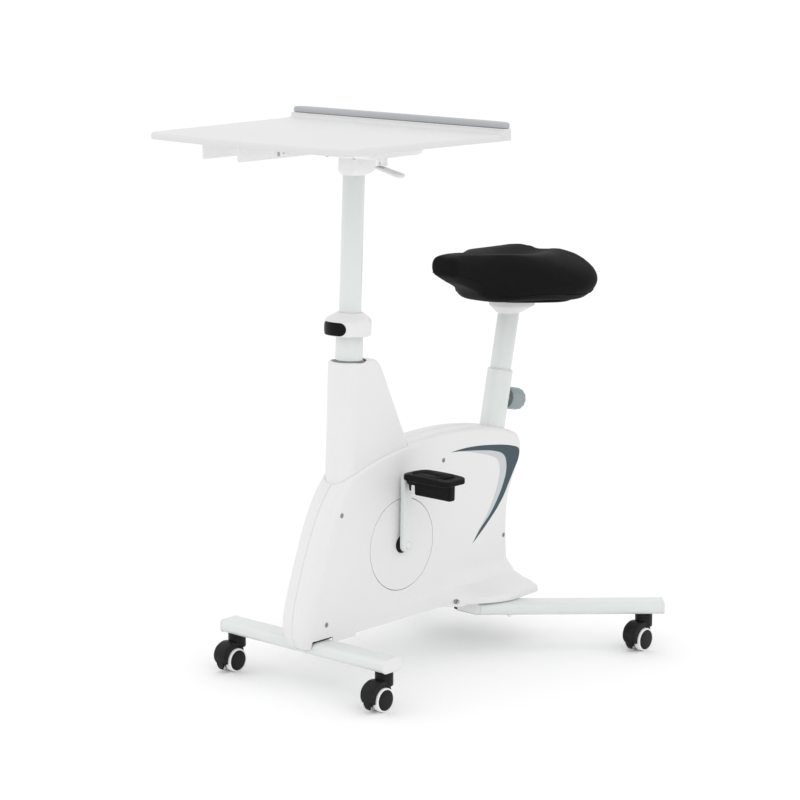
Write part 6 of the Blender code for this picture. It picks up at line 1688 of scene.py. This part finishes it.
def saddle_section(station, slack):
    """One cross-section of the foam, from the groove round one side and back."""
    along, half, bottom, top, groove = station
    y = SADDLE_NOSE_Y + slack + (SADDLE_REAR_Y - SADDLE_NOSE_Y - 2 * slack) * along
    half = half * SADDLE_WIDTH / SADDLE_DRAWN_WIDTH - slack
    top -= slack * 0.6
    height = top - bottom
    wide = min(1.0, max(0.0, (along - 0.45) / 0.27))
    side = [(0.0, top - groove), (0.16, top - groove * 0.75), (0.34, top - groove * 0.1),
            (0.58, top - height * 0.04 * wide), (0.82, top - height * (0.11 + 0.10 * wide)),
            (1.0, top - height * (0.36 + 0.08 * wide)), (0.99, top - height * 0.72),
            (0.84, bottom + height * 0.04), (0.40, bottom), (0.0, bottom)]
    right = [(half * share, y, z) for share, z in side]
    left = [(-x, y, z) for x, y, z in reversed(right[1:-1])]
    return right + left


def saddle_foam():
    """The saddle cushion: full lobes either side of its channel, swelled under the cover."""
    slack = 0.0016
    cage = loft([saddle_section(station, slack) for station in SADDLE_STATIONS])
    foam = swelled(subdivided(cage, 3), 0.0050, 4.0, 0.0050, PAN_TOP + 0.004)
    for vert in foam.verts:
        vert.co.z = max(vert.co.z, PAN_TOP + TOUCH)
    return subdivided(foam)


def saddle_hem(foam):
    """The cover's hem: a thin bead round the cushion where its side turns under."""
    skin = BVHTree.FromBMesh(foam)
    right = []
    for along, half, bottom, top, _ in SADDLE_STATIONS[1:-1]:
        y = SADDLE_NOSE_Y + (SADDLE_REAR_Y - SADDLE_NOSE_Y) * along
        half = half * SADDLE_WIDTH / SADDLE_DRAWN_WIDTH * 0.93
        right.append((half, y, bottom + (top - bottom) * 0.10))
    nose = (0.0, SADDLE_NOSE_Y, 0.899)
    rear = (0.0, SADDLE_REAR_Y, 0.838)
    loop = [nose] + right + [rear] + [(-x, y, z) for x, y, z in reversed(right)]
    keys = [loop[-1]] + loop + [loop[0], loop[1]]
    path = smooth_curve(keys, 10)[10:-11]
    centres = []
    for point in path:
        place, normal, _, _ = skin.find_nearest(Vector(point))
        centres.append((place + normal * 0.0002, normal))
    rings = []
    for i, (place, normal) in enumerate(centres):
        ahead = (centres[(i + 1) % len(centres)][0] - centres[i - 1][0]).normalized()
        across = ahead.cross(normal).normalized()
        up = across.cross(ahead)
        rings.append([tuple(place + across * (math.cos(a) * HEM_RADIUS) + up * (math.sin(a) * HEM_RADIUS))
                      for a in (2 * math.pi * k / 8 for k in range(8))])
    return closed_up(loft(rings + [rings[0]], cap_start=False, cap_end=False))


def saddle_pan():
    """The moulded pan under the cushion, dished towards its edge."""
    length = SADDLE_REAR_Y - SADDLE_NOSE_Y
    low = SADDLE_NOSE_Y + length * 0.48
    outline = smooth_curve([(0.0, low), (0.045, low + 0.004), (0.095, low + 0.045),
                            (0.135, low + length * 0.24), (0.118, low + length * 0.38),
                            (0.070, low + length * 0.455), (0.0, low + length * 0.465)], 8)
    outline += [(-x, y) for x, y in reversed(outline[1:-1])]
    middle_y = low + length * 0.23
    rings = []
    for z, share in ((0.0, 0.80), (0.0008, 0.84), (0.0030, 0.975), (0.0036, 0.992), (0.0044, 1.0),
                     (0.0066, 1.0), (0.0070, 0.996)):
        smaller = [(x * share, middle_y + (y - middle_y) * share) for x, y in outline]
        rings.append(raised(smaller, PAN_TOP - PAN_DEPTH + z))
    return loft(rings)


def build_saddle():
    foam = saddle_foam()
    hem = saddle_hem(foam)
    cushion = piece("saddle_cushion_cover", foam, SADDLE_COVER, "seat", ["saddle_cushion"], TO_ROW, 70.0)
    piece("saddle_hem_bead", hem, SADDLE_COVER, "seat", (), TO_ROW, 60.0)
    piece("saddle_pan_shell", saddle_pan(), BLACK_NYLON, "seat", ["saddle_pan"])


build_saddle()
